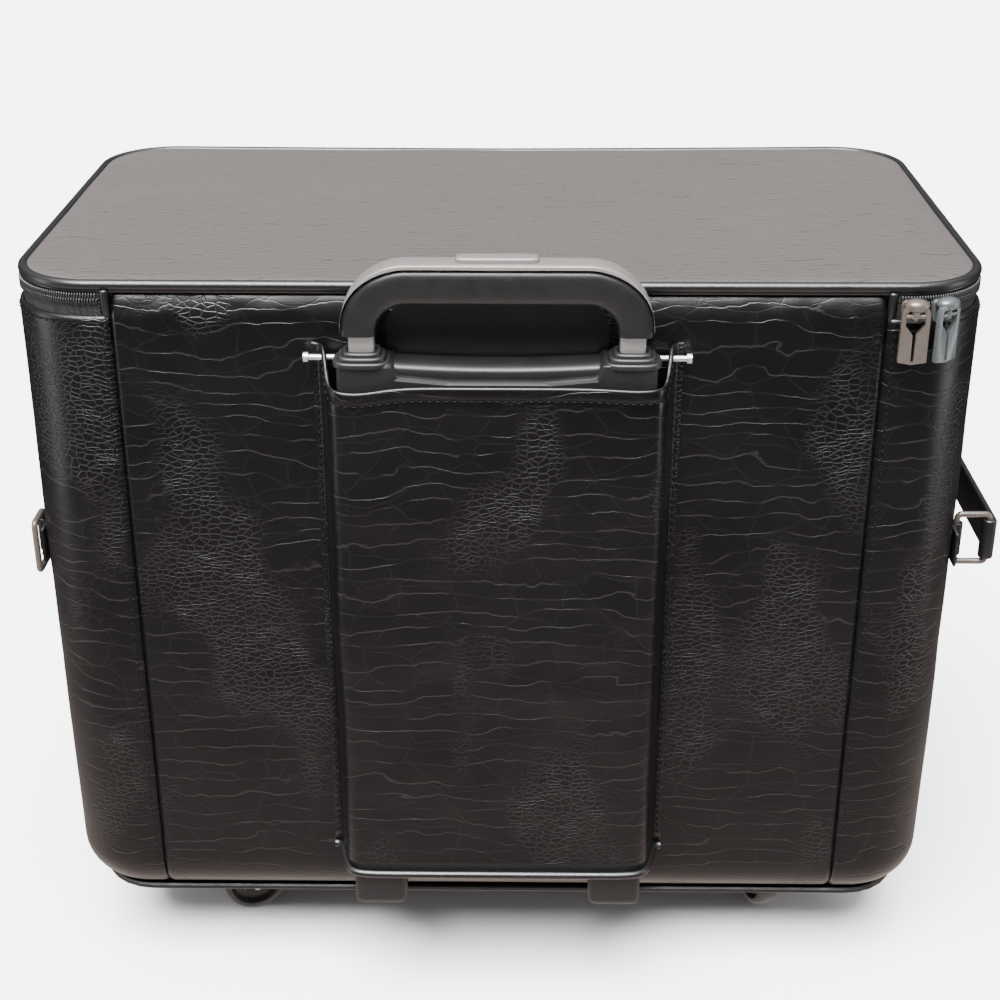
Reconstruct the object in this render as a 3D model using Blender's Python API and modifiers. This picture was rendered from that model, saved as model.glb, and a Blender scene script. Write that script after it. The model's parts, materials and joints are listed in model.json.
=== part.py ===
"""A makeup train case: zipped soft-sided box on four casters with a two-stage trolley handle.

Case frame: X runs along the width, -Y is the trolley side, +Z is up and z = 0 is the underside of
the leather body. The root empty puts the middle of the whole object over the world's origin and
its casters on the ground. The case stands upright, its lid zipped shut and its handle pushed down.
"""

import math

import bmesh
import bpy
from mathutils import Matrix, Vector

MM = 0.001

# Driving dimensions of the case
WIDTH = 430 * MM
DEPTH = 242 * MM
CORNER_R = 38 * MM
EDGE_R = 20 * MM
PARTING_Z = 316 * MM
PIPING_R = 2.3 * MM
PIPING_Z = 323 * MM
PIPING_INSET = 3.2 * MM
FLOOR_DROP = 45 * MM
GAP = 0.3 * MM
WALL = 2.0 * MM
SEAM_X = 167.5 * MM
FOLD_Z = 309.5 * MM
ZIP_INSET = 2.3 * MM
ZIP_THICK = 1.3 * MM
ZIP_END = 4 * MM
LINING_INSET = 4.0 * MM
LINING_WALL = 2.2 * MM

# Shift of the case that puts the middle of the whole object's box over the origin
CENTRE_SHIFT = (-8.1 * MM, 14.0 * MM)

# Trolley
TUBE_X = 57.4 * MM
TUBE_OUT = 15.5 * MM
OUTER_TUBE = (16.8 * MM, 14.2 * MM, 1.2 * MM)
MID_TUBE = (13.8 * MM, 11.2 * MM, 1.1 * MM)
INNER_TUBE = (11.0 * MM, 8.4 * MM, 1.0 * MM)
COVER_BOTTOM = 38 * MM
COVER_TOP = 288 * MM
COVER_FLANGE_X = 80.5 * MM
COVER_FRONT_X = 64 * MM
COVER_OUT = 27 * MM
COVER_PIPING_R = 2.0 * MM
GRIP_HALF = 66 * MM
GRIP_TOP = 340 * MM
GRIP_BOTTOM = 305 * MM
GRIP_UNDER = 322 * MM
GRIP_DEPTH = 12 * MM
GRIP_SHOULDER_R = 28 * MM
GRIP_INNER_R = 13 * MM
GRIP_SHELL = 2.4 * MM
BUTTON_HALF = (17.5 * MM, 4.3 * MM)
PIN_R = 1.3 * MM

# Casters
CASTER_X = 144 * MM
CASTER_Y = 72 * MM
CASTER_TRAIL = 12 * MM
WHEEL_R = 17 * MM
WHEEL_HALF = 6 * MM
AXLE_R = 2 * MM
PLATE_HALF = 17 * MM
PLATE_THICK = 2.4 * MM
CROWN_R = 9 * MM
CROWN_THICK = 2 * MM
CHEEK_X = (7 * MM, 9 * MM)
PAN_Z = (-3.6 * MM, -GAP)

BACK_Y = -DEPTH / 2
PIN_YZ = (BACK_Y - 6.5 * MM, 294 * MM)
CORNER_X = WIDTH / 2 - CORNER_R
CORNER_Y = BACK_Y + CORNER_R

for old in list(bpy.data.objects):
    bpy.data.objects.remove(old, do_unlink=True)

parts = bpy.data.collections.new("makeup_train_case")
cutters = bpy.data.collections.new("cutters")
cutters.hide_render = True
bpy.context.scene.collection.children.link(parts)
bpy.context.scene.collection.children.link(cutters)


def material(name, color, roughness, metallic=0.0):
    made = bpy.data.materials.new(name)
    made.use_nodes = True
    shader = made.node_tree.nodes["Principled BSDF"]
    shader.inputs["Base Color"].default_value = (*color, 1)
    shader.inputs["Roughness"].default_value = roughness
    shader.inputs["Metallic"].default_value = metallic
    return made


LEATHER = material("black_embossed_leather", (0.012, 0.012, 0.014), 0.35)
TOP_LEATHER = material("lid_leather", (0.06, 0.056, 0.054), 0.6)
TRIM = material("smooth_trim_leather", (0.01, 0.01, 0.011), 0.4)
LINING = material("black_lining", (0.02, 0.02, 0.022), 0.9)
BOARD = material("stiffener_board", (0.09, 0.07, 0.05), 0.9)
ZIP_TAPE = material("zip_chain", (0.015, 0.015, 0.016), 0.6)
PLASTIC = material("black_plastic", (0.018, 0.018, 0.018), 0.45)
DARK_GREY = material("dark_grey_plastic", (0.06, 0.06, 0.065), 0.5)
SILVER = material("satin_silver", (0.55, 0.55, 0.55), 0.35, 1.0)
STEEL = material("steel", (0.5, 0.5, 0.5), 0.3, 1.0)
NICKEL = material("warm_nickel", (0.5, 0.46, 0.42), 0.25, 1.0)
RUBBER = material("wheel_rubber", (0.02, 0.02, 0.02), 0.6)


# Frames: one empty for each moving body, on its joint's axis
def empty(name, place, parent=None, turn=0.0):
    """An empty at a place in the case frame, or in its parent's frame when that is a caster's."""
    made = bpy.data.objects.new(name, None)
    made.parent = parent
    made.location = place
    made.rotation_euler.z = turn
    parts.objects.link(made)
    return made


case = empty("case_frame", (*CENTRE_SHIFT, FLOOR_DROP))


def add(name, mesh, finish, frame=case, pivot=(0, 0, 0)):
    """Links a mesh made in case coordinates. Its origin goes to the pivot that its frame stands on."""
    if finish is not None:
        mesh.materials.append(finish)
    mesh.transform(Matrix.Translation(-Vector(pivot)))
    made = bpy.data.objects.new(name, mesh)
    made.parent = frame
    parts.objects.link(made)
    return made


def mesh_of(bm, name):
    mesh = bpy.data.meshes.new(name)
    bm.to_mesh(mesh)
    bm.free()
    return mesh


def smooth(obj, degrees=35):
    obj.data.shade_smooth()
    obj.data.set_sharp_from_angle(angle=math.radians(degrees))
    return obj


def bevel(obj, width, segments=2):
    made = obj.modifiers.new("bevel", "BEVEL")
    made.width = width
    made.segments = segments
    made.limit_method = "ANGLE"
    made.angle_limit = math.radians(40)
    return obj


def with_helper(obj, helper, operation):
    """Moves a helper to the cutters' collection and gives it to the object's Boolean."""
    parts.objects.unlink(helper)
    cutters.objects.link(helper)
    helper.hide_render = True
    helper.display_type = "WIRE"
    made = obj.modifiers.new(operation.lower(), "BOOLEAN")
    made.object = helper
    made.operation = operation
    made.solver = "EXACT"
    return obj


def cut(obj, mesh, pivot=(0, 0, 0), frame=case):
    """Takes a cutter's mesh, made in the same coordinates as the object's, out of the object."""
    helper = add(f"{obj.name}_cutter_{len(obj.modifiers)}", mesh, None, frame, pivot)
    return with_helper(obj, helper, "DIFFERENCE")


def join(obj, mesh, frame=case, pivot=(0, 0, 0)):
    """Adds a mesh, made in the same coordinates as the object's, to the object."""
    helper = add(f"{obj.name}_joined_{len(obj.modifiers)}", mesh, None, frame, pivot)
    return with_helper(obj, helper, "UNION")


def block(x, y, z):
    """A box between two limits along each axis."""
    bm = bmesh.new()
    bmesh.ops.create_cube(bm, size=1)
    size = (x[1] - x[0], y[1] - y[0], z[1] - z[0])
    middle = ((x[0] + x[1]) / 2, (y[0] + y[1]) / 2, (z[0] + z[1]) / 2)
    bm.transform(Matrix.Translation(middle) @ Matrix.Diagonal((*size, 1)))
    return mesh_of(bm, "block")


def rod(radius, start, end, sides=16):
    """A cylinder from one point to another."""
    start, end = Vector(start), Vector(end)
    run = end - start
    bm = bmesh.new()
    bmesh.ops.create_cone(
        bm, cap_ends=True, segments=sides, radius1=radius, radius2=radius, depth=run.length
    )
    turn = run.to_track_quat("Z", "Y").to_matrix().to_4x4()
    bm.transform(Matrix.Translation((start + end) / 2) @ turn)
    return mesh_of(bm, "rod")


def arc(centre, radius, start, end, steps):
    """Points along an arc, its angles in degrees from +X towards +Y."""
    angles = [math.radians(start + (end - start) * i / steps) for i in range(steps + 1)]
    return [(centre[0] + radius * math.cos(a), centre[1] + radius * math.sin(a)) for a in angles]


def wall_path(inset=0.0, seam=None, steps=6):
    """The case's outline, clockwise from the back's middle, or from one back seam round to the other."""
    radius = CORNER_R - inset
    x, y = CORNER_X, -CORNER_Y
    path = []
    for centre, start in (((-x, -y), 270), ((-x, y), 180), ((x, y), 90), ((x, -y), 0)):
        path += arc(centre, radius, start, start - 90, steps)
    if seam is None:
        return path
    back = BACK_Y + inset
    return [(-seam, back), *path, (seam, back)]


def edge_profile(inset, top, depth):
    """Pairs of inset and height down a wall and round the bottom edge, to a depth past the rounding."""
    radius = EDGE_R - inset
    angles = [math.radians(a) for a in (0, 22.5, 45, 67.5, 90)]
    turned = [(EDGE_R - radius * math.cos(a), EDGE_R - radius * math.sin(a)) for a in angles]
    return [(inset, top), *turned, (EDGE_R + depth, inset)]


def lofted(rings, thickness, closed=False, capped=False):
    """A sheet through rings of points, top ring first, thickened inwards."""
    bm = bmesh.new()
    rows = [[bm.verts.new(point) for point in ring] for ring in rings]
    count = len(rows[0])
    for upper, lower in zip(rows, rows[1:]):
        for i in range(count if closed else count - 1):
            j = (i + 1) % count
            bm.faces.new((upper[i], upper[j], lower[j], lower[i]))
    if capped:
        bm.faces.new(rows[-1])
    mesh = mesh_of(bm, "sheet")

    def thicken(obj):
        made = obj.modifiers.new("thickness", "SOLIDIFY")
        made.thickness = thickness
        made.offset = -1
        made.use_even_offset = True
        return smooth(obj)

    return mesh, thicken


def wall(name, profile, thickness, finish, seam=None, capped=False, frame=case, pivot=(0, 0, 0)):
    """A wall that follows the case's outline, through pairs of inset and height."""
    rings = [[(x, y, height) for x, y in wall_path(inset, seam)] for inset, height in profile]
    mesh, thicken = lofted(rings, thickness, seam is None, capped)
    return thicken(add(name, mesh, finish, frame, pivot))


def baked(curve_obj):
    """A curve object's evaluated shape as a mesh with its caps welded. The curve is removed."""
    bpy.context.view_layer.update()
    evaluated = curve_obj.evaluated_get(bpy.context.evaluated_depsgraph_get())
    mesh = bpy.data.meshes.new_from_object(evaluated)
    bm = bmesh.new()
    bm.from_mesh(mesh)
    bmesh.ops.remove_doubles(bm, verts=bm.verts, dist=1e-6)
    bm.transform(curve_obj.matrix_world)
    bm.to_mesh(mesh)
    bm.free()
    bpy.data.objects.remove(curve_obj, do_unlink=True)
    return mesh


def poly_spline(curve, points, cyclic):
    spline = curve.splines.new("POLY")
    spline.points.add(len(points) - 1)
    for target, point in zip(spline.points, points):
        target.co = (*point, *([0.0] * (3 - len(point))), 1)
    spline.use_cyclic_u = cyclic


def slab(outline, low, high, upright=False):
    """A flat outline with thickness: lying between two heights, or upright in XZ between two depths."""
    curve = bpy.data.curves.new("slab", "CURVE")
    curve.dimensions = "2D"
    curve.fill_mode = "BOTH"
    curve.extrude = (high - low) / 2
    poly_spline(curve, outline, True)
    obj = bpy.data.objects.new("slab", curve)
    bpy.context.scene.collection.objects.link(obj)
    if upright:
        obj.rotation_euler.x = math.pi / 2
        obj.location.y = (low + high) / 2
    else:
        obj.location.z = (low + high) / 2
    return baked(obj)


def cord(points, radius, cyclic=False, sides=2):
    """A round tube along points."""
    curve = bpy.data.curves.new("cord", "CURVE")
    curve.dimensions = "3D"
    curve.bevel_depth = radius
    curve.bevel_resolution = sides
    curve.use_fill_caps = True
    poly_spline(curve, points, cyclic)
    obj = bpy.data.objects.new("cord", curve)
    bpy.context.scene.collection.objects.link(obj)
    return baked(obj)


def rounded(half_x, low, high, radius, steps=3):
    """A rectangle with rounded corners, centred on X."""
    outline = []
    corners = (
        (half_x - radius, high - radius, 0),
        (-half_x + radius, high - radius, 90),
        (-half_x + radius, low + radius, 180),
        (half_x - radius, low + radius, 270),
    )
    for x, y, start in corners:
        outline += arc((x, y), radius, start, start + 90, steps)
    return outline


# Body
def make_body():
    wall("body_wrap", edge_profile(0, FOLD_Z, 2 * MM), WALL, LEATHER, seam=SEAM_X)
    back = [
        [(-SEAM_X + GAP, BACK_Y + inset, z), (SEAM_X - GAP, BACK_Y + inset, z)]
        for inset, z in edge_profile(0, PARTING_Z - 4 * MM, 2 * MM)
    ]
    # The back runs from +X to -X when the walls are read clockwise, so its faces point out.
    mesh, thicken = lofted([ring[::-1] for ring in back], WALL)
    thicken(add("back_panel", mesh, LEATHER))

    hinge_z = (PARTING_Z - 4 * MM + GAP, PARTING_Z - GAP)
    strip = block((-SEAM_X + GAP, SEAM_X - GAP), (BACK_Y, BACK_Y + 1.2 * MM), hinge_z)
    add("hinge_strip", strip, TRIM)

    lower_chain = [(ZIP_INSET, PARTING_Z - GAP), (ZIP_INSET, FOLD_Z - 8 * MM)]
    wall("zip_chain_body", lower_chain, ZIP_THICK, ZIP_TAPE, seam=SEAM_X + ZIP_END)
    lining = edge_profile(LINING_INSET, PARTING_Z - 5 * MM, 1 * MM)
    wall("lining_shell", lining, LINING_WALL, LINING, capped=True)

    pan = wall_path(10 * MM)
    bevel(add("base_pan", slab(pan, *PAN_Z), PLASTIC), 0.8 * MM, 1)
    board = wall_path(EDGE_R + 3 * MM)
    add("base_board", slab(board, GAP, LINING_INSET - GAP), BOARD)


# Lid, hinged along the back panel's top edge
LID_PIVOT = (0, BACK_Y, PARTING_Z)


def make_lid():
    hinge = empty("lid_hinge", LID_PIVOT, case)
    under_piping = PIPING_Z - PIPING_R - GAP
    path = [(x, y, PIPING_Z) for x, y in wall_path(PIPING_INSET, steps=8)]
    piping = add("lid_piping", cord(path, PIPING_R, cyclic=True), TRIM, hinge, LID_PIVOT)
    smooth(piping, 60)
    inside_piping = wall_path(PIPING_INSET + PIPING_R + GAP)
    panel = slab(inside_piping, under_piping + GAP, PIPING_Z + PIPING_R / 2)
    add("lid_panel", panel, TOP_LEATHER, hinge, LID_PIVOT)
    upper_chain = [(ZIP_INSET, under_piping), (ZIP_INSET, PARTING_Z + GAP)]
    ends = SEAM_X + ZIP_END
    wall("zip_chain_lid", upper_chain, ZIP_THICK, ZIP_TAPE, ends, frame=hinge, pivot=LID_PIVOT)
    rim = [(LINING_INSET, under_piping), (LINING_INSET, PARTING_Z + GAP)]
    wall("lid_frame", rim, LINING_WALL, TRIM, frame=hinge, pivot=LID_PIVOT)
    lining = slab(wall_path(LINING_INSET + LINING_WALL + GAP), PARTING_Z + GAP, under_piping)
    add("lid_lining", lining, LINING, hinge, LID_PIVOT)


# Zip sliders, which run round the corner on its vertical axis, with their pullers
SLIDER_TURNS = {"left": 1.5, "right": 21.5}
SLIDER_Z = (FOLD_Z + GAP, PARTING_Z - GAP)
SLIDER_R = CORNER_R - ZIP_INSET + 0.4 * MM
SLIDER_HALF = 5.2 * MM
PIVOT_R = SLIDER_R + 6.6 * MM
BRIDGE_HALF = 1.8 * MM
PULLER_HALF = 6.2 * MM
PULLER_LENGTH = 25 * MM


def puller_outline():
    """A flat strip with rounded shoulders above its bar and a shallow pointed tip."""
    half, top, shoulder = PULLER_HALF, 1.5 * MM, 1.4 * MM
    return [
        *arc((half - shoulder, top - shoulder), shoulder, 0, 90, 4),
        *arc((-half + shoulder, top - shoulder), shoulder, 90, 180, 4),
        (-half, -PULLER_LENGTH),
        (0, -PULLER_LENGTH - 2.2 * MM),
        (half, -PULLER_LENGTH),
    ]


def make_sliders():
    pivot_z = sum(SLIDER_Z) / 2
    for side, degrees in SLIDER_TURNS.items():
        turn = math.radians(degrees)
        axis = (CORNER_X, CORNER_Y, pivot_z)
        runner = empty(f"zip_slider_{side}_runner", axis, case, turn)
        body = block(
            (-SLIDER_HALF, SLIDER_HALF),
            (-SLIDER_R - 2.6 * MM, -SLIDER_R),
            (SLIDER_Z[0] - pivot_z, SLIDER_Z[1] - pivot_z),
        )
        slider = bevel(add(f"zip_slider_{side}", body, NICKEL, runner), 1.2 * MM, 2)
        crown = block(
            (-3 * MM, 3 * MM), (-PIVOT_R - 2 * MM, -SLIDER_R - 2 * MM), (-BRIDGE_HALF, BRIDGE_HALF)
        )
        join(slider, crown, runner)
        eye = rod(1.1 * MM, (-5 * MM, -PIVOT_R, 0), (5 * MM, -PIVOT_R, 0), 12)
        cut(slider, eye, frame=runner)

        pivot = empty(f"zip_puller_{side}_pivot", (0, -PIVOT_R, 0), runner)
        flat = slab(puller_outline(), -1.1 * MM, 1.1 * MM, upright=True)
        puller = add(f"zip_puller_{side}", flat, NICKEL, pivot)
        window = slab(rounded(3.5 * MM, -7 * MM, 5 * MM, 1 * MM), -2 * MM, 2 * MM, upright=True)
        cut(puller, window, frame=pivot)
        bar = rod(0.8 * MM, (-5 * MM, 0, 0), (5 * MM, 0, 0), 12)
        join(puller, bar, pivot)


# Trolley: fixed tubes under a leather cover, and a handle that slides out of them in two stages
def cover_path():
    """Section of the cover from one flange round its padded front to the other, as X and distance out."""
    right = [
        (COVER_FLANGE_X, 1.9 * MM),
        (COVER_FLANGE_X - 3 * MM, 2.6 * MM),
        (COVER_FLANGE_X - 4.5 * MM, 6 * MM),
        (COVER_FRONT_X + 9 * MM, COVER_OUT - 7 * MM),
        (COVER_FRONT_X + 5.5 * MM, COVER_OUT - 1.8 * MM),
        (COVER_FRONT_X - 1 * MM, COVER_OUT - 0.2 * MM),
        (COVER_FRONT_X - 20 * MM, COVER_OUT),
    ]
    return right + [(-x, out) for x, out in reversed(right)]


def make_cover():
    path = cover_path()
    rings = [[(x, BACK_Y - out, z) for x, out in path] for z in (300 * MM, COVER_BOTTOM)]
    mesh, thicken = lofted(rings, 1.6 * MM)
    cover = thicken(add("trolley_cover", mesh, LEATHER))
    above = (COVER_TOP, 305 * MM)
    cut(cover, block((-90 * MM, 90 * MM), (BACK_Y - 40 * MM, BACK_Y - 11 * MM), above))
    cut(cover, block((-71.5 * MM, 71.5 * MM), (BACK_Y - 12 * MM, BACK_Y + 1 * MM), above))
    for side in (-1, 1):
        start, end = (side * 60 * MM, *PIN_YZ), (side * 95 * MM, *PIN_YZ)
        cut(cover, rod(PIN_R + 0.5 * MM, start, end))

    clear, height = COVER_PIPING_R + 0.5 * MM, COVER_BOTTOM - COVER_PIPING_R - 0.4 * MM
    piping = [(x, BACK_Y - max(out + GAP, clear), height) for x, out in path]
    smooth(add("cover_piping", cord(piping, COVER_PIPING_R), TRIM), 60)


def box_tube(name, size, x, z, finish, frame=case, pivot=(0, 0, 0)):
    """A rectangular tube round the handle's line, open at both ends."""
    wide, deep, thick = size
    y = BACK_Y - TUBE_OUT
    solid = block((x - wide / 2, x + wide / 2), (y - deep / 2, y + deep / 2), z)
    obj = bevel(add(name, solid, finish, frame, pivot), 1.5 * MM, 2)
    inside = block(
        (x - wide / 2 + thick, x + wide / 2 - thick),
        (y - deep / 2 + thick, y + deep / 2 - thick),
        (z[0] - 5 * MM, z[1] + 5 * MM),
    )
    return cut(obj, inside, pivot, frame)


HOUSING_HALF = 68 * MM
HOUSING_Z = (268 * MM, 297 * MM)
HOUSING_OUT = (4.0 * MM, 23.7 * MM)
SADDLE_Z = 289 * MM
RECESS_HALF = 41 * MM
RECESS_OUT = (11.5 * MM, 19 * MM)
RECESS_Z = 274 * MM
BOOT_X = 57 * MM
BOOT_HALF = 12.5 * MM
BOOT_OUT = 23.6 * MM
BOOT_Z = (14 * MM, 60 * MM)
TUBE_FOOT_Z = 18 * MM
PIN_ENDS = (67 * MM, 82 * MM)


def make_housing():
    """The plastic head that joins the outer tubes, with a low saddle and a finger recess between."""
    boss = RECESS_HALF + 3.5 * MM
    half = [(HOUSING_HALF, HOUSING_Z[0]), (HOUSING_HALF, HOUSING_Z[1]), (boss, HOUSING_Z[1]),
            (RECESS_HALF + 1 * MM, SADDLE_Z + 2 * MM), (20 * MM, SADDLE_Z)]
    outline = half + [(-x, z) for x, z in reversed(half)]
    head = slab(outline, BACK_Y - HOUSING_OUT[1], BACK_Y - HOUSING_OUT[0], upright=True)
    housing = bevel(add("trolley_housing", head, PLASTIC), 1.5 * MM, 2)
    depth = (BACK_Y - RECESS_OUT[1], BACK_Y - RECESS_OUT[0])
    cut(housing, block((-RECESS_HALF, RECESS_HALF), depth, (RECESS_Z, 310 * MM)))
    return housing


def make_trolley():
    housing = make_housing()
    y = BACK_Y - TUBE_OUT
    half_wide, half_deep = OUTER_TUBE[0] / 2 + GAP, OUTER_TUBE[1] / 2 + GAP
    for side, sign in (("left", -1), ("right", 1)):
        x = sign * TUBE_X
        around = ((x - half_wide, x + half_wide), (y - half_deep, y + half_deep))
        cut(housing, block(*around, (260 * MM, 305 * MM)))
        hole_start, hole_end = (sign * 66.5 * MM, *PIN_YZ), (sign * 72 * MM, *PIN_YZ)
        cut(housing, rod(PIN_R + 0.4 * MM, hole_start, hole_end))
        tube_z = (TUBE_FOOT_Z, HOUSING_Z[1] + 2 * MM)
        box_tube(f"outer_tube_{side}", OUTER_TUBE, x, tube_z, STEEL)

        boot_x = sign * BOOT_X
        boot = block((boot_x - BOOT_HALF, boot_x + BOOT_HALF), (BACK_Y - BOOT_OUT, BACK_Y - GAP), BOOT_Z)
        boot = bevel(add(f"tube_boot_{side}", boot, PLASTIC), 3.5 * MM, 3)
        cut(boot, block(*around, (TUBE_FOOT_Z - 0.5 * MM, BOOT_Z[1] + 5 * MM)))

        start, end = (sign * PIN_ENDS[0], *PIN_YZ), (sign * PIN_ENDS[1], *PIN_YZ)
        pin = add(f"cover_pin_{side}", rod(PIN_R, start, end, 16), STEEL)
        head = (sign * (PIN_ENDS[1] - 0.5 * MM), *PIN_YZ), (sign * (PIN_ENDS[1] + 1.6 * MM), *PIN_YZ)
        join(pin, rod(2.2 * MM, *head, 20))
        smooth(pin)


def arch(half, top, foot, radius):
    """The left foot, over the top and down to the right foot of an arch with rounded shoulders."""
    shoulder = arc((half - radius, top - radius), radius, 0, 90, 8)
    right = [(half, foot), *shoulder]
    return [(-x, z) for x, z in right] + right[::-1]


YOKE_R = 1.5 * MM
YOKE_FOOT_Z = 30 * MM
YOKE_BEND = ((57.4 * MM, 316.5 * MM), (56.3 * MM, 319.3 * MM), (42.5 * MM, 330.2 * MM), (39 * MM, 331.5 * MM))
YOKE_SLOT = ((60 * MM, 345 * MM), (60 * MM, 312 * MM), (54.8 * MM, 312 * MM), (54.8 * MM, 313.5 * MM),
             (40 * MM, 324 * MM))


def make_handle():
    y = BACK_Y - TUBE_OUT
    mid = empty("handle_mid_slide", (0, y, 0), case)
    mid_pivot = (0, y, 0)
    grip = empty("handle_slide", (0, 0, 0), mid)
    press = empty("button_slide", (0, 0, 0), grip)
    deep = (y - GRIP_DEPTH / 2, y + GRIP_DEPTH / 2)
    core_half = GRIP_HALF - GRIP_SHELL - GAP
    core_top = GRIP_TOP - GRIP_SHELL - GAP
    core = arch(core_half, core_top, GRIP_BOTTOM, GRIP_SHOULDER_R - GRIP_SHELL - GAP)
    core += arch(50 * MM, GRIP_UNDER, GRIP_BOTTOM, GRIP_INNER_R)[::-1]
    core = bevel(add("grip_body", slab(core, *deep, upright=True), DARK_GREY, grip, mid_pivot), 1.2 * MM, 2)

    half_wide, half_deep = INNER_TUBE[0] / 2 + GAP, INNER_TUBE[1] / 2 + GAP
    for side, sign in (("left", -1), ("right", 1)):
        x = sign * TUBE_X
        box_tube(f"mid_tube_{side}", MID_TUBE, x, (20 * MM, 301 * MM), STEEL, mid, mid_pivot)
        box_tube(f"inner_tube_{side}", INNER_TUBE, x, (22 * MM, 315 * MM), SILVER, grip, mid_pivot)
        around = ((x - half_wide, x + half_wide), (y - half_deep, y + half_deep))
        cut(core, block(*around, (300 * MM, 315.5 * MM)), mid_pivot, grip)
    slot = [*YOKE_SLOT, *[(-x, z) for x, z in reversed(YOKE_SLOT)]]
    slot_half = YOKE_R + 1.1 * MM
    cut(core, slab(slot, y - slot_half, y + slot_half, upright=True), mid_pivot, grip)
    wide, thick = BUTTON_HALF[0] + 0.4 * MM, BUTTON_HALF[1] + 0.4 * MM
    key_way = ((-wide, wide), (y - thick, y + thick), (330 * MM, 345 * MM))
    cut(core, block(*key_way), mid_pivot, grip)

    cap_foot = GRIP_TOP - GRIP_SHOULDER_R - 1 * MM
    cap = arch(GRIP_HALF, GRIP_TOP, cap_foot, GRIP_SHOULDER_R)
    cap += arch(core_half + GAP, core_top + GAP, cap_foot, GRIP_SHOULDER_R - GRIP_SHELL)[::-1]
    cap = bevel(add("grip_cap", slab(cap, *deep, upright=True), SILVER, grip, mid_pivot), 0.8 * MM, 2)
    cut(cap, block(*key_way), mid_pivot, grip)

    wide, thick = BUTTON_HALF
    key = block((-wide, wide), (y - thick, y + thick), (334.2 * MM, 342 * MM))
    bevel(add("push_button", key, SILVER, press, mid_pivot), 1.0 * MM, 2)
    right = [(TUBE_X, y, YOKE_FOOT_Z), *[(x, y, z) for x, z in YOKE_BEND]]
    yoke = [(-x, depth, z) for x, depth, z in right] + right[::-1]
    smooth(add("release_yoke", cord(yoke, YOKE_R), STEEL, press, mid_pivot), 60)


# Side handle on the right, and a single ring on the left
RING_OUT = 15.5 * MM
RING_HALF = 12.5 * MM
WIRE_R = 1.5 * MM
RING_Z = 186 * MM
RING_Y = (-82 * MM, 82 * MM)
SIDE_X = WIDTH / 2
STRAP_LOOP_R = 3.6 * MM
STRAP_INNER = 0.6 * MM
STRAP_HALF = 10.2 * MM
HOLD_OUT = 3.6 * MM
TAB_HALF = 8.5 * MM


def ring_mesh():
    """A rectangular wire ring standing out along +X from the axis of its inner bar."""
    corner = 2 * MM
    outline = []
    far, high = RING_OUT - corner, RING_HALF - corner
    corners = ((far, high, 0), (corner, high, 90), (corner, -high, 180), (far, -high, 270))
    for x, z, start in corners:
        outline += arc((x, z), corner, start, start + 90, 3)
    return cord([(x, 0, z) for x, z in outline], WIRE_R, cyclic=True)


def tab_mesh(sign):
    """A leather tab folded round the ring's inner bar: a loop with two leaves sewn to the side."""
    loop = arc((HOLD_OUT, 0), 2.9 * MM, 100, -100, 8)
    tip, root = (1.6 * MM, 14 * MM), (2.4 * MM, 3.2 * MM)
    outline = [(GAP, -tip[1]), (GAP, tip[1]), tip, root, *loop, (root[0], -root[1]), (tip[0], -tip[1])]
    return slab([(sign * x, y) for x, y in outline], -TAB_HALF, TAB_HALF)


def strap_outline(run):
    """The strap's section from above: a flat run with a loop round each ring's outer bar."""
    meet = math.degrees(math.acos(STRAP_INNER / STRAP_LOOP_R))
    loop_near = arc((0, 0), STRAP_LOOP_R, meet, 360, 10)
    loop_far = arc((0, run), STRAP_LOOP_R, 0, 360 - meet, 10)
    return loop_near + loop_far


def make_side_hardware():
    reach = RING_HALF + 2.5 * MM
    for label, sign, y in (("right_near", 1, RING_Y[0]), ("right_far", 1, RING_Y[1]), ("left", -1, RING_Y[0])):
        tab = add(f"ring_tab_{label}", tab_mesh(sign), TRIM, case)
        tab.location = (sign * SIDE_X, y, RING_Z)
        x = sign * HOLD_OUT
        hole = cut(tab, rod(WIRE_R + GAP, (x, 0, -reach), (x, 0, reach), 14))
        hole.modifiers[-1].object.location = tab.location
        axis = (sign * (SIDE_X + HOLD_OUT), y, RING_Z)
        pivot = empty(f"ring_{label}_pivot", axis, case, 0 if sign > 0 else math.pi / 2)
        smooth(add(f"ring_{label}", ring_mesh(), NICKEL, pivot), 60)

    run = RING_Y[1] - RING_Y[0]
    swing = empty("side_strap_pivot", (SIDE_X + HOLD_OUT + RING_OUT, RING_Y[0], RING_Z), case)
    strap = add("side_strap", slab(strap_outline(run), -STRAP_HALF, STRAP_HALF), TRIM, swing)
    for y in (0, run):
        cut(strap, rod(WIRE_R + GAP, (0, y, -reach), (0, y, reach), 14), frame=swing)


# Casters
CASTER_HEADINGS = {"left_near": 20, "right_near": 110, "left_far": 60, "right_far": 130}


def make_wheel(name, frame):
    """A turned wheel with rounded tread, its axle along the frame's X."""
    half = WHEEL_HALF
    dish = half - 1.2 * MM
    profile = [(AXLE_R + GAP, half), (8 * MM, half), (9 * MM, dish), (12.5 * MM, dish)]
    profile += [(13.5 * MM, half), (15.5 * MM, half), (WHEEL_R, half - 2 * MM)]
    profile += [(x, -z) for x, z in reversed(profile)]
    bm = bmesh.new()
    ring = [bm.verts.new((x, 0, z)) for x, z in profile]
    for a, b in zip(ring, ring[1:] + ring[:1]):
        bm.edges.new((a, b))
    wheel = add(name, mesh_of(bm, name), RUBBER, frame)
    wheel.rotation_euler.y = math.pi / 2
    screw = wheel.modifiers.new("turn", "SCREW")
    screw.steps = 20
    screw.render_steps = 20
    screw.use_merge_vertices = True
    screw.merge_threshold = 1e-5
    return wheel


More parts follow.
